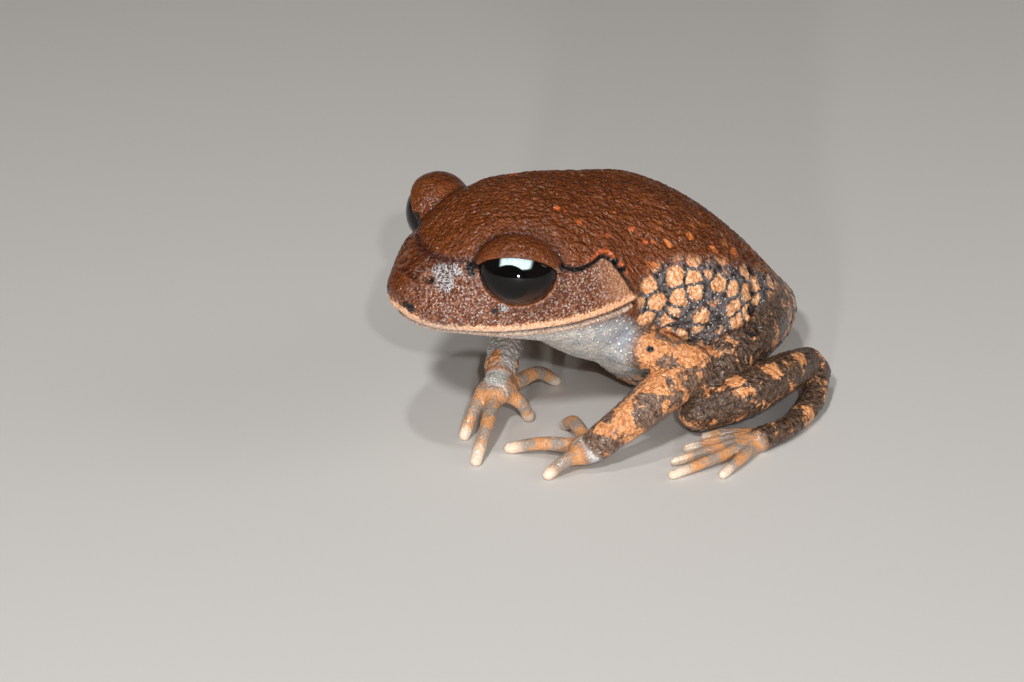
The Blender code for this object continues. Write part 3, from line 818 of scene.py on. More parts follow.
def face_marks(points, marks, lines):
    """The granulated side of the face, the lips, the painted shade along the mouth, and the ridge from the
    nostril to the eye.
    """
    y, z = points[:, 1], points[:, 2]
    mouth = lines["mouth"]
    top = curve_z(y, FACE_TOP)
    before_eyes = 1 - smoothstep(*SNOUT_FADE, y)
    top -= RIGHT_FACE_DROP * (1 - smoothstep(*RIGHT_FACE_FADE, points[:, 0])) * before_eyes
    top = np.where(y > EAR_FOLD[0][0], curve_z(y, EAR_FOLD), top)
    face = smoothstep(*FACE_TOP_FADE, top - z) * smoothstep(*FACE_MOUTH_FADE, mouth)
    face *= 1 - smoothstep(*FACE_REAR_FADE, y - curve_y(z, FACE_REAR))
    snout_top = smoothstep(*RIGHT_SNOUT_FADE, -points[:, 0]) * before_eyes
    snout_top *= smoothstep(*RIGHT_SNOUT_RISE, z)
    marks["face"] = face * (1 - snout_top)
    marks["grey"] = patches(points, GREY_PATCH) * (1 - snout_top)
    marks["snout"] = between(y, *SNOUT_SPAN)
    marks["ridge"] = marks["snout"] * bump_at(lines["canthus"], *RIDGE_BAND) * (1 - marks["limb"])
    marks["lip"] = between(mouth, *UPPER_LIP_SPAN) * (y < UPPER_LIP_END_Y)
    marks["lower_lip"] = between(mouth, *LOWER_LIP_SPAN) * (y < LOWER_LIP_END_Y)
    # Painted shade: a dark line along the mouth's groove
    marks["mouth_painted_shade"] = bump_at(mouth, *MOUTH_SHADE_BAND) * (y < MOUTH_END_Y)


def trunk_marks(points, marks):
    """The underside, the blotched flank, the shoulder above it and the groove before the thigh."""
    y, z = points[:, 1], points[:, 2]
    body = 1 - marks["limb"]
    above_flank = z - curve_z(y, FLANK_TOP)
    behind = smoothstep(*FLANK_FRONT_FADE, y - curve_y(z, FLANK_FRONT))
    marks["belly"] = body * (1 - smoothstep(*BELLY_FADE, z - curve_z(y, BELLY_TOP)))
    marks["flank"] = body * behind * (1 - smoothstep(*FLANK_TOP_FADE, above_flank))
    marks["shoulder"] = body * behind * bump_at(above_flank, *SHOULDER_BAND)
    marks["groin"] = patches(points, GROIN)
    marks["spots"] = patches(points, LIMB_SPOTS)


def fold_marks(points, marks, lines):
    """The black line under the ear fold with its orange edge, the small black and orange marks, and the
    painted shade in the groin's hollow.
    """
    fold, place = lines["fold"], lines["fold_place"]
    near_fold = (np.abs(fold) < FOLD_REACH) & (np.abs(points[:, 0]) > FOLD_LEAST_X)
    width = np.interp(place, *np.array(FOLD_LINE).T)
    black = smoothstep(*BLACK_LOW_FADE, fold / width) * (1 - smoothstep(*FOLD_TOP_FADE, fold)) * near_fold
    black = np.maximum(black * (1 - smoothstep(*BLACK_END_FADE, place)), patches(points, BLACK_MARKS))
    # The black zone also carries the painted shade of the groin's hollow
    marks["black"] = np.maximum(black, GROIN_PAINTED_SHADE * marks["groin"])
    edge = bump_at(fold, *FOLD_EDGE_BAND) * near_fold * between(place, *FOLD_EDGE_SPAN)
    marks["orange"] = np.maximum(edge, patches(points, ORANGE_MARKS))
    marks["near_fold"] = near_fold * between(place, *FOLD_SPAN)


def eye_marks(points, marks):
    """The lids' crease, sunk and painted dark as shade, the orange lower rim, the smooth hood, the socket
    and the nostrils.
    """
    offsets = eye_axes(*offsets_from(points, EYE_CENTRE))
    rise = offsets[2]
    lid = ball_value(offsets, EYE_RADII + LID_THICKNESS)
    ball = ball_value(offsets, EYE_RADII)
    # The crease above the eye: sunk in the relief, and painted dark as shade
    marks["lid"] = bump_at(lid, *LID_CREASE_BAND) * smoothstep(*LID_CREASE_RISE, rise)
    marks["rim"] = (1 - smoothstep(*RIM_FADE, ball)) * smoothstep(*RIM_DROP, -rise)
    marks["hood"] = (1 - smoothstep(*HOOD_FADE, lid)) * smoothstep(*HOOD_RISE, rise)
    marks["socket"] = 1 - smoothstep(*SOCKET_FADE, ball)
    nostril = ball_value(offsets_from(points, NOSTRIL), NOSTRIL_RADII)
    marks["nostril"] = 1 - smoothstep(*NOSTRIL_FADE, nostril)
    marks["nostril_rim"] = bump_at(nostril, *NOSTRIL_RIM_BAND)


# Heights and depths of the skin's relief in millimetres, and how far each reaches
HEAD_END_Y = 12.5
LID_CREASE_END_Y = 5.0
EAR_FOLD_HEIGHT = 0.34
EAR_FOLD_REACH = 1.1
EAR_GROOVE_DEPTH = 0.22
EAR_GROOVE_BAND = (-0.16, 0.16)
LID_CREASE_DEPTH = 0.1
GROIN_DEPTH = 0.4
NOSTRIL_DEPTH = 0.4
NOSTRIL_RIM_HEIGHT = 0.07
FLOOR_FADE = (0.35, 0.9)
CRUMPLE = (0.15, 0.55)
CRUMPLE_SCALE = (1.5, 0.95, 1.5)
WRINKLE = (0.08, 0.32)
WRINKLE_SCALE = (2.9, 1.9, 2.9)
COARSE_GRAIN_SCALE = 1.35
FINE_GRAIN_SCALE = 2.6

# Heights beside the mouth, for the groove and the two lips, and beside the snout's ridge, for the
# ridge and the hollow under it: height, and the middle and width of its band
MOUTH_RELIEF = ((-0.24, 0.0, 0.15), (0.05, 0.45, 0.34), (0.06, -0.42, 0.3))
SNOUT_RELIEF = ((0.12, 0.1, 0.4), (-0.26, -1.0, 0.8))


def head_relief(points, marks, lines):
    """The ear fold, the mouth with its lips, the ridge of the snout, the lids and the nostrils."""
    y = points[:, 1]
    fold = lines["fold"]
    head = (y < HEAD_END_Y) & (marks["limb"] < 0.3)
    out = marks["near_fold"] * (fold > 0) * EAR_FOLD_HEIGHT * np.exp(-np.abs(fold) / EAR_FOLD_REACH)
    out -= marks["near_fold"] * EAR_GROOVE_DEPTH * bump_at(fold, *EAR_GROOVE_BAND)
    for height, middle, width in MOUTH_RELIEF:
        out += head * height * bump_at(lines["mouth"], middle, width)
    for height, middle, width in SNOUT_RELIEF:
        out += head * marks["snout"] * height * bump_at(lines["canthus"], middle, width)
    out -= LID_CREASE_DEPTH * marks["lid"] * (y < LID_CREASE_END_Y)
    out -= NOSTRIL_DEPTH * marks["nostril"]
    return out + NOSTRIL_RIM_HEIGHT * marks["nostril_rim"]


def wrinkled(points, marks):
    """The loose skin of the back, in coarse crumples and finer wrinkles, and smooth on the lids."""
    back = (1 - marks["face"]) * (1 - marks["belly"]) * (1 - marks["limb"]) * (1 - marks["flank"])
    back *= 1 - 0.85 * marks["hood"]
    bent = points + 0.5 * np.stack([soft_noise(points * 0.9, salt) for salt in (21, 22, 23)], axis=1)
    crumple = CRUMPLE[0] - CRUMPLE[1] * creases(bent * CRUMPLE_SCALE, 5)
    wrinkle = WRINKLE[0] - WRINKLE[1] * creases(bent * WRINKLE_SCALE, 7)
    return back * (crumple * smoothstep(-6.0, 8.0, points[:, 1]) + wrinkle)


def grained(points, marks):
    """Round granules: coarse on the flank and the limbs, fine on the face, the belly and the digits."""
    coarse = 1 - smoothstep(0.1, 0.62, grains(points * COARSE_GRAIN_SCALE, 11))
    fine = 1 - smoothstep(0.1, 0.7, grains(points * FINE_GRAIN_SCALE, 17))
    rough = np.maximum(marks["flank"], 0.8 * np.maximum(marks["arm"], marks["leg"]))
    smooth = np.maximum(marks["face"] * (1 - marks["lip"]), 0.8 * marks["belly"])
    return rough * (0.11 * coarse + 0.05 * fine) + (0.05 * smooth + 0.03 * marks["digit"]) * fine


def raised(points, marks, lines):
    """How far each vertex moves out along its normal. The flats on the floor and the sockets stay."""
    out = head_relief(points, marks, lines) + wrinkled(points, marks) + grained(points, marks)
    out -= GROIN_DEPTH * marks["groin"]
    return out * smoothstep(*FLOOR_FADE, points[:, 2]) * (1 - marks["socket"])


def subdivided(points, quads):
    """Four quads for each one, with new vertices in the middle of its edges and of itself."""
    ends = edges_of(quads)
    ends.sort(axis=1)
    keys, number = np.unique(ends[:, 0] * len(points) + ends[:, 1], return_inverse=True)
    first, second = keys // len(points), keys % len(points)
    number = number.reshape(4, -1) + len(points)
    middle = np.arange(len(quads)) + len(points) + len(keys)
    out = np.concatenate([points, (points[first] + points[second]) / 2, points[quads].mean(axis=1)])
    finer = []
    for corner in range(4):
        finer.append(np.stack([quads[:, corner], number[corner], middle, number[corner - 1]], axis=1))
    return out, np.concatenate(finer)


# The skin's zones, three to each attribute of its mesh
PACKED = (
    ("zones_a", ("face", "lip", "belly")),
    ("zones_b", ("flank", "shoulder", "digit")),
    ("zones_c", ("black", "orange", "grey")),
    ("zones_d", ("arm", "leg", "tip")),
    ("zones_e", ("lid", "rim", "mouth_painted_shade")),
    ("zones_f", ("lower_lip", "nostril", "spots")),
    ("zones_g", ("hood", "ridge", "nostril_rim")),
)
NORMAL_STEP = 0.2


def store(mesh, name, kind, values):
    layer = mesh.attributes.new(name, kind, "POINT")
    key = "vector" if kind == "FLOAT_VECTOR" else "value"
    layer.data.foreach_set(key, np.ascontiguousarray(values, np.float32).ravel())


def all_marks(points):
    """The zones of the skin as numbers from 0 to 1, and the distances from the lines on its side."""
    lines = {}
    lines["fold"], lines["fold_place"] = along_side(points, EAR_FOLD)
    lines["mouth"], _ = along_side(points, MOUTH)
    lines["canthus"], _ = along_side(points, CANTHUS)
    marks = limb_marks(points)
    face_marks(points, marks, lines)
    trunk_marks(points, marks)
    fold_marks(points, marks, lines)
    eye_marks(points, marks)
    return marks, lines


def build_skin():
    field = toad_field()
    points, quads = surface_of(field)
    points = relaxed(field, points, quads, 3)
    points, quads = subdivided(points, quads)
    points = relaxed(field, points, quads, 1)
    marks, lines = all_marks(points)
    points += field.slope(points, NORMAL_STEP) * raised(points, marks, lines)[:, None]
    points[:, 2] = np.maximum(points[:, 2], 0.0)
    skin = mesh_of("skin", (points + SHIFT) * MM, quads)
    mesh = skin.data
    for name, parts in PACKED:
        store(mesh, name, "FLOAT_VECTOR", np.stack([marks[part] for part in parts], axis=1))
    store(mesh, "band", "FLOAT", marks["band"])
    store(mesh, "place", "FLOAT_VECTOR", points)
    mesh.update()
    mesh.shade_smooth()
    return skin


class Paint:
    """Builds one procedural material, a node at a time."""

    def __init__(self, name):
        self.material = bpy.data.materials.new(name)
        self.material.use_nodes = True
        self.tree = self.material.node_tree
        self.shader = self.tree.nodes["Principled BSDF"]

    def put(self, target, value):
        if isinstance(value, bpy.types.NodeSocket):
            self.tree.links.new(value, target)
        elif isinstance(value, tuple) and len(value) == 3 and target.type == "RGBA":
            target.default_value = (*value, 1.0)
        else:
            target.default_value = value

    def node(self, kind, settings=(), **inputs):
        """A node with its settings, and its named inputs linked or filled in."""
        made = self.tree.nodes.new(kind)
        for key, value in dict(settings).items():
            setattr(made, key, value)
        for key, value in inputs.items():
            self.put(made.inputs[key.replace("_", " ")], value)
        return made

    def attribute(self, name):
        return self.node("ShaderNodeAttribute", {"attribute_name": name})

    def split(self, name):
        return self.node("ShaderNodeSeparateXYZ", Vector=self.attribute(name).outputs["Vector"]).outputs

    def math(self, operation, a, b):
        made = self.node("ShaderNodeMath", {"operation": operation})
        self.put(made.inputs[0], a)
        self.put(made.inputs[1], b)
        return made.outputs[0]

    def times(self, a, b):
        return self.math("MULTIPLY", a, b)

    def plus(self, a, b):
        return self.math("ADD", a, b)

    def most(self, a, b):
        return self.math("MAXIMUM", a, b)

    def rest(self, value):
        return self.math("SUBTRACT", 1.0, value)

    def swing(self, value, width):
        """A noise from 0 to 1 made into one around zero, of a given width."""
        return self.times(self.math("SUBTRACT", value, 0.5), width)

    def step(self, value, low, high, start=0.0, end=1.0):
        """Goes smoothly from start to end while the value goes from low to high."""
        made = self.node("ShaderNodeMapRange", {"interpolation_type": "SMOOTHSTEP"})
        for socket, number in zip(made.inputs, (value, low, high, start, end)):
            self.put(socket, number)
        return made.outputs[0]

    def mix(self, share, a, b):
        made = self.node("ShaderNodeMix", {"data_type": "RGBA"})
        for index, value in ((0, share), (6, a), (7, b)):
            self.put(made.inputs[index], value)
        return made.outputs[2]

    def shades(self, noise, low, high, pair):
        """The pair's first colour where the noise is low, and its second where it is high."""
        return self.mix(self.step(noise, low, high), *pair)

    def axis(self, vector, index):
        return self.node("ShaderNodeSeparateXYZ", Vector=vector).outputs[index]

    def vector_math(self, operation, *values):
        made = self.node("ShaderNodeVectorMath", {"operation": operation})
        for socket, value in zip(made.inputs, values):
            self.put(socket, value)
        return made.outputs

    def stretch(self, vector, scale):
        return self.vector_math("MULTIPLY", vector, scale)[0]

    def noise(self, vector, scale, detail=2.0, roughness=0.5):
        made = self.node("ShaderNodeTexNoise", Vector=vector, Scale=scale, Detail=detail)
        made.inputs["Roughness"].default_value = roughness
        return made.outputs["Fac"]

    def cells(self, vector, scale, feature="F1", randomness=1.0):
        made = self.node("ShaderNodeTexVoronoi", {"feature": feature}, Vector=vector, Scale=scale)
        made.inputs["Randomness"].default_value = randomness
        return made.outputs["Distance"]

    def granules(self, vector, scale):
        """Round grains of random tone: how near each point is to a grain's middle, and its tone."""
        made = self.node("ShaderNodeTexVoronoi", Vector=vector, Scale=scale)
        return made.outputs["Distance"], self.axis(made.outputs["Color"], 0)

    def drawn_out(self, vector, turn, length):
        """The vector in axes turned about X, its Y shortened, so that marks run long that way."""
        turn = (math.radians(turn), 0.0, 0.0)
        made = self.node("ShaderNodeMapping", {"vector_type": "TEXTURE"}, Vector=vector, Rotation=turn)
        made.inputs["Scale"].default_value = (1.0, length, 1.0)
        return made.outputs[0]

    def warped(self, vector, scale, amount):
        noise = self.node("ShaderNodeTexNoise", Vector=vector, Scale=scale, Detail=2.0)
        return self.vector_math("MULTIPLY_ADD", noise.outputs["Color"], (amount, amount, amount), vector)[0]


# Colours, most in pairs from dark to light
BACK = ((0.085, 0.018, 0.003), (0.23, 0.060, 0.011))
# Painted shade: the dark of the back's wrinkle lines
BACK_CREASE_SHADE = (0.05, 0.011, 0.003)
BACK_CLOUD = (0.32, 0.090, 0.025)
FLECK = (0.60, 0.15, 0.035)
SIDE = ((0.12, 0.028, 0.010), (0.26, 0.080, 0.028))
SIDE_GAP = (0.055, 0.014, 0.006)
SIDE_GRAIN = ((0.36, 0.17, 0.09), (0.44, 0.37, 0.34))
CHEEK = ((0.48, 0.17, 0.06), (0.80, 0.44, 0.26))
SPECKLE = ((0.07, 0.045, 0.04), (0.56, 0.56, 0.57))
RIDGE_LINE = (0.040, 0.007, 0.004)
NOSTRIL_RIM = (0.36, 0.14, 0.07)
# Painted shade inside the nostril's opening, from its edge to its deepest part
NOSTRIL_PAINTED_SHADE = ((0.10, 0.035, 0.016), (0.022, 0.009, 0.006))
UPPER_LIP = ((0.78, 0.29, 0.11), (1.0, 0.66, 0.43))
LOWER_LIP = ((0.35, 0.20, 0.12), (0.80, 0.62, 0.50))
UNDERSIDE = ((0.44, 0.43, 0.40), (0.72, 0.67, 0.60))
UNDERSIDE_CLOUD = (0.30, 0.33, 0.38)
UNDERSIDE_DOT = (1.0, 0.96, 0.91)
ARMPIT = (0.20, 0.22, 0.26)
BLOTCH = ((0.66, 0.25, 0.085), (0.95, 0.56, 0.31))
SLATE = ((0.028, 0.020, 0.018), (0.15, 0.125, 0.125))
SPARK = (0.85, 0.80, 0.72)
DASH = (0.66, 0.19, 0.045)
TAN = ((0.48, 0.16, 0.05), (0.86, 0.42, 0.18))
ARM_BROWN = ((0.075, 0.038, 0.021), (0.25, 0.155, 0.11))
ARM_GREY = ((0.30, 0.27, 0.27), (0.62, 0.56, 0.52))
LEG_BROWN = ((0.030, 0.015, 0.008), (0.14, 0.08, 0.05))
DIGITS = ((0.34, 0.27, 0.22), (0.66, 0.31, 0.13))
DIGIT_TIP = (0.86, 0.68, 0.52)

# The marks that lie over all the rest: zone, strength and colour. The lids' crease and the mouth's line are
# painted shade, and the black also holds the painted shade of the groin's hollow.
OVERLAID = (
    ("orange", 0.9, (0.66, 0.14, 0.035)),
    # Painted shade: the dark of the lids' crease
    ("lid", 0.75, (0.025, 0.008, 0.004)),
    ("rim", 0.8, (0.48, 0.16, 0.06)),
    # The black marks, and with them the painted shade of the groin's hollow
    ("black", 1.0, (0.008, 0.006, 0.006)),
    # Painted shade: the dark line along the mouth
    ("mouth_painted_shade", 0.85, (0.03, 0.012, 0.008)),
)

# The skin's gloss and relief
BUMP_DISTANCE = 0.00016
SPECULAR = 0.35
COAT = 0.3
COAT_ROUGHNESS = 0.1
SUBSURFACE = 0.08
SUBSURFACE_RADIUS = (0.0009, 0.0004, 0.0002)


class SkinPaint(Paint):
    """The skin's material, with the noises that its colours and its relief share."""

    def __init__(self):
        super().__init__("skin")
        self.zone = {}
        for layer, names in PACKED:
            self.zone.update(zip(names, self.split(layer)))
        self.band = self.attribute("band").outputs["Fac"]
        place = self.attribute("place").outputs["Vector"]
        self.place = place
        self.broad = self.noise(place, 0.45, 3.0)
        self.medium = self.noise(place, 1.6, 4.0, 0.6)
        self.fine = self.noise(place, 6.0, 4.0, 0.65)
        self.crinkles = self.noise(place, 2.3, 5.0, 0.65)
        self.small, self.tone = self.granules(self.warped(place, 2.5, 0.3), 4.8)
        self.sloping = self.drawn_out(self.warped(place, 0.6, 0.9), -52.0, 3.0)
        self.dots = self.step(self.cells(self.warped(place, 2.0, 0.2), 2.0), 0.34, 0.22)

    def over(self, colour, zone, share, top):
        """Lays another colour over a zone, as strongly as the share says."""
        return self.mix(self.times(self.zone[zone], share), colour, top)

    def back(self):
        """Dark reddish brown with fine streaks, painted shade along its wrinkle lines, and a few orange
        flecks.
        """
        streaks = self.noise(self.stretch(self.place, (1.0, 0.55, 1.0)), 6.0, 5.0, 0.7)
        wrinkles = self.noise(self.sloping, 2.6, 4.0, 0.6)
        colour = self.shades(streaks, 0.36, 0.66, BACK)
        # Painted shade: darkens the back along the wrinkle lines
        colour = self.mix(self.times(self.step(wrinkles, 0.5, 0.34), 0.6), colour, BACK_CREASE_SHADE)
        colour = self.mix(self.times(self.step(self.broad, 0.45, 0.75), 0.35), colour, BACK_CLOUD)
        flecks = self.cells(self.stretch(self.warped(self.place, 1.2, 0.5), (1.0, 0.5, 1.0)), 0.75)
        flecks = self.times(self.step(flecks, 0.16, 0.08), self.step(self.medium, 0.50, 0.60))
        return self.mix(flecks, colour, FLECK)

    def side(self):
        """The side of the face: brown, closely set with pale granules, and orange at its rear."""
        length = self.axis(self.place, 1)
        pale = self.times(self.step(self.small, 0.62, 0.40), self.step(self.tone, 0.30, 0.62))
        pale = self.times(pale, self.step(length, -9.2, -6.6, 0.3, 0.92))
        colour = self.shades(self.medium, 0.35, 0.65, SIDE)
        colour = self.mix(self.times(self.step(self.small, 0.4, 0.7), 0.6), colour, SIDE_GAP)
        colour = self.mix(pale, colour, self.shades(self.crinkles, 0.42, 0.58, SIDE_GRAIN))
        rear = self.times(self.step(length, 6.5, 11.5), 0.65)
        return self.mix(rear, colour, self.shades(self.fine, 0.4, 0.6, CHEEK))

    def head(self):
        """The back and the side of the face, the speckled patch between nostril and eye, and the lip."""
        tiny, tiny_tone = self.granules(self.warped(self.place, 3.0, 0.3), 8.0)
        colour = self.mix(self.zone["face"], self.back(), self.side())
        speckle = self.shades(tiny_tone, 0.45, 0.6, SPECKLE)
        colour = self.over(colour, "grey", self.step(tiny, 0.75, 0.5, 0.5, 0.95), speckle)
        colour = self.over(colour, "ridge", 0.9, RIDGE_LINE)
        colour = self.over(colour, "nostril_rim", 0.3, NOSTRIL_RIM)
        edge = self.plus(self.zone["lip"], self.swing(self.tone, 0.5))
        return self.mix(self.step(edge, 0.25, 0.75), colour, self.shades(self.fine, 0.38, 0.62, UPPER_LIP))

    def underside(self):
        """Grey with white grains, and blue towards the armpit."""
        armpit = self.step(self.axis(self.place, 1), 7.5, 11.0)
        armpit = self.times(armpit, self.step(self.axis(self.place, 2), 8.5, 11.0))
        colour = self.shades(self.medium, 0.35, 0.65, UNDERSIDE)
        colour = self.mix(self.times(self.step(self.broad, 0.5, 0.60), 0.6), colour, UNDERSIDE_CLOUD)
        colour = self.mix(self.times(armpit, 0.7), colour, ARMPIT)
        return self.mix(self.dots, colour, UNDERSIDE_DOT)

    def flank(self):
        """Rounded orange blotches in a slate net, with pale sparks."""
        bent = self.warped(self.place, 0.9, 0.7)
        uneven = self.swing(self.crinkles, 0.55)
        near = self.plus(self.cells(bent, 0.48, "F1", 0.72), uneven)
        gap = self.plus(self.cells(bent, 0.48, "DISTANCE_TO_EDGE", 0.72), self.times(uneven, 0.5))
        blotch = self.times(self.step(near, 0.60, 0.44), self.step(gap, 0.05, 0.12))
        slate = self.shades(self.medium, 0.4, 0.6, SLATE)
        colour = self.mix(blotch, slate, self.shades(self.crinkles, 0.38, 0.62, BLOTCH))
        sparks = self.step(self.cells(self.place, 2.2), 0.24, 0.14)
        return self.mix(self.times(sparks, 0.8), colour, SPARK)

    def dashes(self):
        long_way = self.drawn_out(self.warped(self.place, 1.2, 0.4), -62.0, 2.6)
        return self.times(self.step(self.cells(long_way, 0.85), 0.34, 0.2), 0.9)

    def with_limbs(self, colour):
        """Arms and legs in uneven bands of tan and brown, and digits ringed and with pale tips."""
        mottled = self.noise(self.warped(self.place, 0.9, 0.8), 0.6, 3.0, 0.6)
        wave = self.times(self.math("SINE", self.times(self.band, 1.25), 0.0), 0.28)
        wave = self.plus(wave, self.plus(self.swing(mottled, 5.5), self.swing(self.fine, 1.4)))
        wave = self.plus(wave, self.plus(self.times(self.zone["spots"], 2.2), -0.25))
        tan = self.shades(self.crinkles, 0.36, 0.64, TAN)
        brown = self.shades(self.crinkles, 0.36, 0.64, ARM_BROWN)
        grey = self.shades(self.fine, 0.3, 0.7, ARM_GREY)
        dark = self.mix(self.step(self.axis(self.place, 0), 4.5, 3.0), brown, grey)
        colour = self.mix(self.zone["arm"], colour, self.mix(self.step(wave, -0.25, 0.25), dark, tan))
        dark = self.shades(self.crinkles, 0.36, 0.64, LEG_BROWN)
        colour = self.mix(self.zone["leg"], colour, self.mix(self.step(wave, 0.15, 0.6), dark, tan))
        rings = self.times(self.math("SINE", self.times(self.band, 1.9), 0.0), 0.35)
        digits = self.shades(self.plus(rings, self.swing(self.medium, 3.0)), -0.3, 0.3, DIGITS)
        digits = self.mix(self.zone["tip"], digits, DIGIT_TIP)
        return self.mix(self.zone["digit"], colour, digits)

    def with_marks(self, colour):
        """The small marks that lie over all the rest, some of them painted shade, and the painted shade
        inside the nostril's opening.
        """
        for zone, share, mark in OVERLAID:
            colour = self.over(colour, zone, share, mark)
        # Painted shade: the nostril's opening darkens towards its middle
        colour = self.mix(self.step(self.zone["nostril"], 0.1, 0.5), colour, NOSTRIL_PAINTED_SHADE[0])
        return self.mix(self.step(self.zone["nostril"], 0.65, 0.95), colour, NOSTRIL_PAINTED_SHADE[1])

    def height(self):
        """Granules, pits, sloping folds of the loose skin, and the underside's grains."""
        face, belly, hood, digit = (self.zone[name] for name in ("face", "belly", "hood", "digit"))
        limbs = self.times(self.most(self.zone["arm"], self.zone["leg"]), 0.6)
        loose = self.rest(self.most(face, digit))
        loose = self.times(loose, self.rest(self.most(limbs, self.times(belly, 0.88))))
        loose = self.times(loose, self.rest(self.times(hood, 0.75)))
        loose = self.times(loose, self.step(self.axis(self.place, 1), -9.0, 4.0, 0.45, 1.0))
        grain = self.cells(self.warped(self.place, 1.8, 0.5), 3.0)
        pits = self.noise(self.place, 2.6, 1.0)
        folds = self.times(self.noise(self.sloping, 2.3, 1.0), self.step(self.broad, 0.35, 0.65, 2.5, 3.9))
        height = self.times(self.step(grain, 0.6, 0.05), 0.25)
        height = self.plus(height, self.times(self.step(self.small, 0.6, 0.1), 0.12))
        height = self.plus(height, self.times(pits, self.step(self.most(digit, belly), 0.2, 0.8, 1.6, 0.6)))
        height = self.plus(height, self.times(folds, loose))
        return self.plus(height, self.times(self.times(self.dots, belly), 1.2))

    def colour(self):
        colour = self.mix(self.zone["belly"], self.head(), self.underside())
        colour = self.over(colour, "lower_lip", 0.9, self.shades(self.fine, 0.4, 0.6, LOWER_LIP))
        colour = self.mix(self.zone["flank"], colour, self.flank())
        colour = self.over(colour, "shoulder", self.dashes(), DASH)
        return self.with_marks(self.with_limbs(colour))


def skin_paint():
    paint = SkinPaint()
    inputs = paint.shader.inputs
    height = paint.height()
    bump = paint.node("ShaderNodeBump", Strength=1.0, Distance=BUMP_DISTANCE, Height=height)
    paint.put(inputs["Base Color"], paint.colour())
    paint.put(inputs["Normal"], bump.outputs["Normal"])
    paint.put(inputs["Coat Normal"], bump.outputs["Normal"])
    paint.put(inputs["Roughness"], paint.step(paint.fine, 0.3, 0.7, 0.18, 0.26))
    inputs["Specular IOR Level"].default_value = SPECULAR
    inputs["Coat Weight"].default_value = COAT
    inputs["Coat Roughness"].default_value = COAT_ROUGHNESS
    inputs["Subsurface Weight"].default_value = SUBSURFACE
    inputs["Subsurface Radius"].default_value = SUBSURFACE_RADIUS
    return paint.material


# The eye: where its pupil looks and how wide it is, its colours, and its gloss
PUPIL_TURN = math.radians(46.0)
PUPIL_ANGLE = math.radians(36.0)
PUPIL_RISE = 0.05
PUPIL_EDGE = 0.012
PUPIL = (0.002, 0.002, 0.002)
# Painted reflection: the pale arc of a bright light above, shown in the eye's colour
PAINTED_REFLECTION_ARC = ((0.35, 0.55, 0.57), (0.80, 0.92, 0.92))
IRIS_DARK = (0.004, 0.003, 0.003)
IRIS_BROWN = ((0.012, 0.005, 0.003), (0.09, 0.035, 0.014))
EYE_ROUGHNESS = 0.04
EYE_SPECULAR = 0.3
EYE_GAP = 0.05
EYE_SEGMENTS = 96
EYE_RINGS = 64


def eye_paint(name, side):
    """Dark, with a painted reflection of a bright light above, a pale arc over the pupil, and a little
    brown below.
    """
    p = Paint(name)
    way = p.vector_math("NORMALIZE", p.node("ShaderNodeTexCoord").outputs["Object"])[0]

    def share(axis):
        return p.vector_math("DOT_PRODUCT", way, tuple(axis))["Value"]

    gaze = np.array([side * math.cos(PUPIL_TURN), -math.sin(PUPIL_TURN), PUPIL_RISE])
    gaze /= np.linalg.norm(gaze)
    rise = share((0.0, 0.0, 1.0))
    sideways = share(np.cross((0.0, 0.0, 1.0), gaze) * side)
    edge = math.cos(PUPIL_ANGLE)
    pupil = p.step(share(gaze), edge - PUPIL_EDGE, edge + PUPIL_EDGE)
    # Painted reflection: where the pale arc lies, above the pupil and under the upper lid
    arc = p.times(p.step(rise, 0.48, 0.55), p.step(sideways, -0.40, -0.28))
    arc = p.times(arc, p.step(sideways, 0.62, 0.50))
    fibres = p.noise(p.stretch(way, (9.0, 9.0, 3.0)), 3.0, 4.0, 0.7)
    colour = p.mix(p.step(rise, 0.0, -0.8), IRIS_DARK, p.mix(fibres, *IRIS_BROWN))
    colour = p.mix(arc, colour, p.shades(fibres, 0.35, 0.65, PAINTED_REFLECTION_ARC))
    p.put(p.shader.inputs["Base Color"], p.mix(pupil, colour, PUPIL))
    p.shader.inputs["Roughness"].default_value = EYE_ROUGHNESS
    p.shader.inputs["Specular IOR Level"].default_value = EYE_SPECULAR
    return p.material


def build_eye(name, side):
    bpy.ops.mesh.primitive_uv_sphere_add(segments=EYE_SEGMENTS, ring_count=EYE_RINGS, radius=1.0)
    eye = bpy.context.object
    eye.name = name + "_ball"
    turn = Matrix.Rotation(-side * EYE_TURN, 4, "Z")
    eye.data.transform(turn @ Matrix.Diagonal((*((EYE_RADII + EYE_GAP) * MM), 1.0)))
    eye.location = (EYE_CENTRE * (side, 1, 1) + SHIFT) * MM
    eye.data.shade_smooth()
    eye.data.materials.append(eye_paint(name, side))
    return eye


# The floor's size in metres, its colour and its roughness
FLOOR_SIZE = 1.2
FLOOR_COLOUR = (0.66, 0.64, 0.61, 1.0)
FLOOR_ROUGHNESS = 0.8

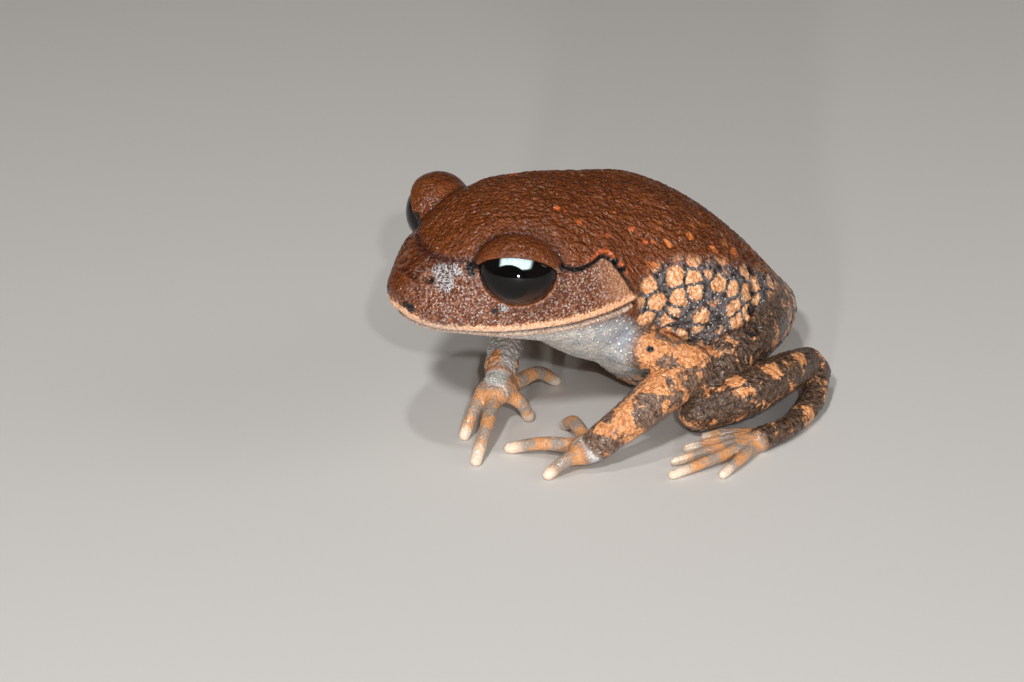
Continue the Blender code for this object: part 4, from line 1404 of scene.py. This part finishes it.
# Lamps: azimuth, height angle, distance and size in metres, and how bright each leaves white paper
LAMPS = (
    ("key", 42.0, 46.0, 0.45, 0.045, 0.44),
    ("top", 25.0, 76.0, 0.45, 0.03, 0.16),
    ("flash", 64.0, 32.0, 0.40, 0.012, 0.24),
    ("front", 54.0, 6.0, 0.45, 0.03, 0.52),
    ("fill", 145.0, 30.0, 0.45, 0.22, 0.14),
)
LAMP_AIM = (0.0, 0.0, 0.012)
SKY_COLOUR = (1.0, 0.86, 0.72, 1.0)
SKY_STRENGTH = 0.07


def build_floor():
    bpy.ops.mesh.primitive_plane_add(size=FLOOR_SIZE, location=(0.0, 0.0, 0.0))
    floor = bpy.context.object
    floor.name = "floor"
    paint = Paint("floor")
    paint.shader.inputs["Base Color"].default_value = FLOOR_COLOUR
    paint.shader.inputs["Roughness"].default_value = FLOOR_ROUGHNESS
    floor.data.materials.append(paint.material)


def build_lamp(name, azimuth, height, distance, size, level):
    """A round lamp that faces the toad."""
    way = Vector(direction(math.radians(azimuth), math.radians(height)))
    data = bpy.data.lights.new(name, "AREA")
    data.energy = level * (math.pi * distance) ** 2
    data.shape = "DISK"
    data.size = size
    lamp = bpy.data.objects.new(name, data)
    lamp.location = Vector(LAMP_AIM) + way * distance
    lamp.rotation_euler = way.to_track_quat("Z", "Y").to_euler()
    bpy.context.scene.collection.objects.link(lamp)


def build_light():
    for lamp in LAMPS:
        build_lamp(*lamp)
    world = bpy.data.worlds.new("world")
    world.use_nodes = True
    sky = world.node_tree.nodes["Background"]
    sky.inputs["Color"].default_value = SKY_COLOUR
    sky.inputs["Strength"].default_value = SKY_STRENGTH
    bpy.context.scene.world = world
    bpy.context.scene.view_settings.view_transform = "Standard"


def main():
    make_camera()
    skin = build_skin()
    skin.data.materials.append(skin_paint())
    flesh = [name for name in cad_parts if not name.startswith("eye")]
    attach(skin, "root")
    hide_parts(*flesh)
    for name, side in (("eye_l", 1), ("eye_r", -1)):
        eye = build_eye(name, side)
        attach(eye, "root")
        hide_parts(name)
    build_floor()
    build_light()


main()
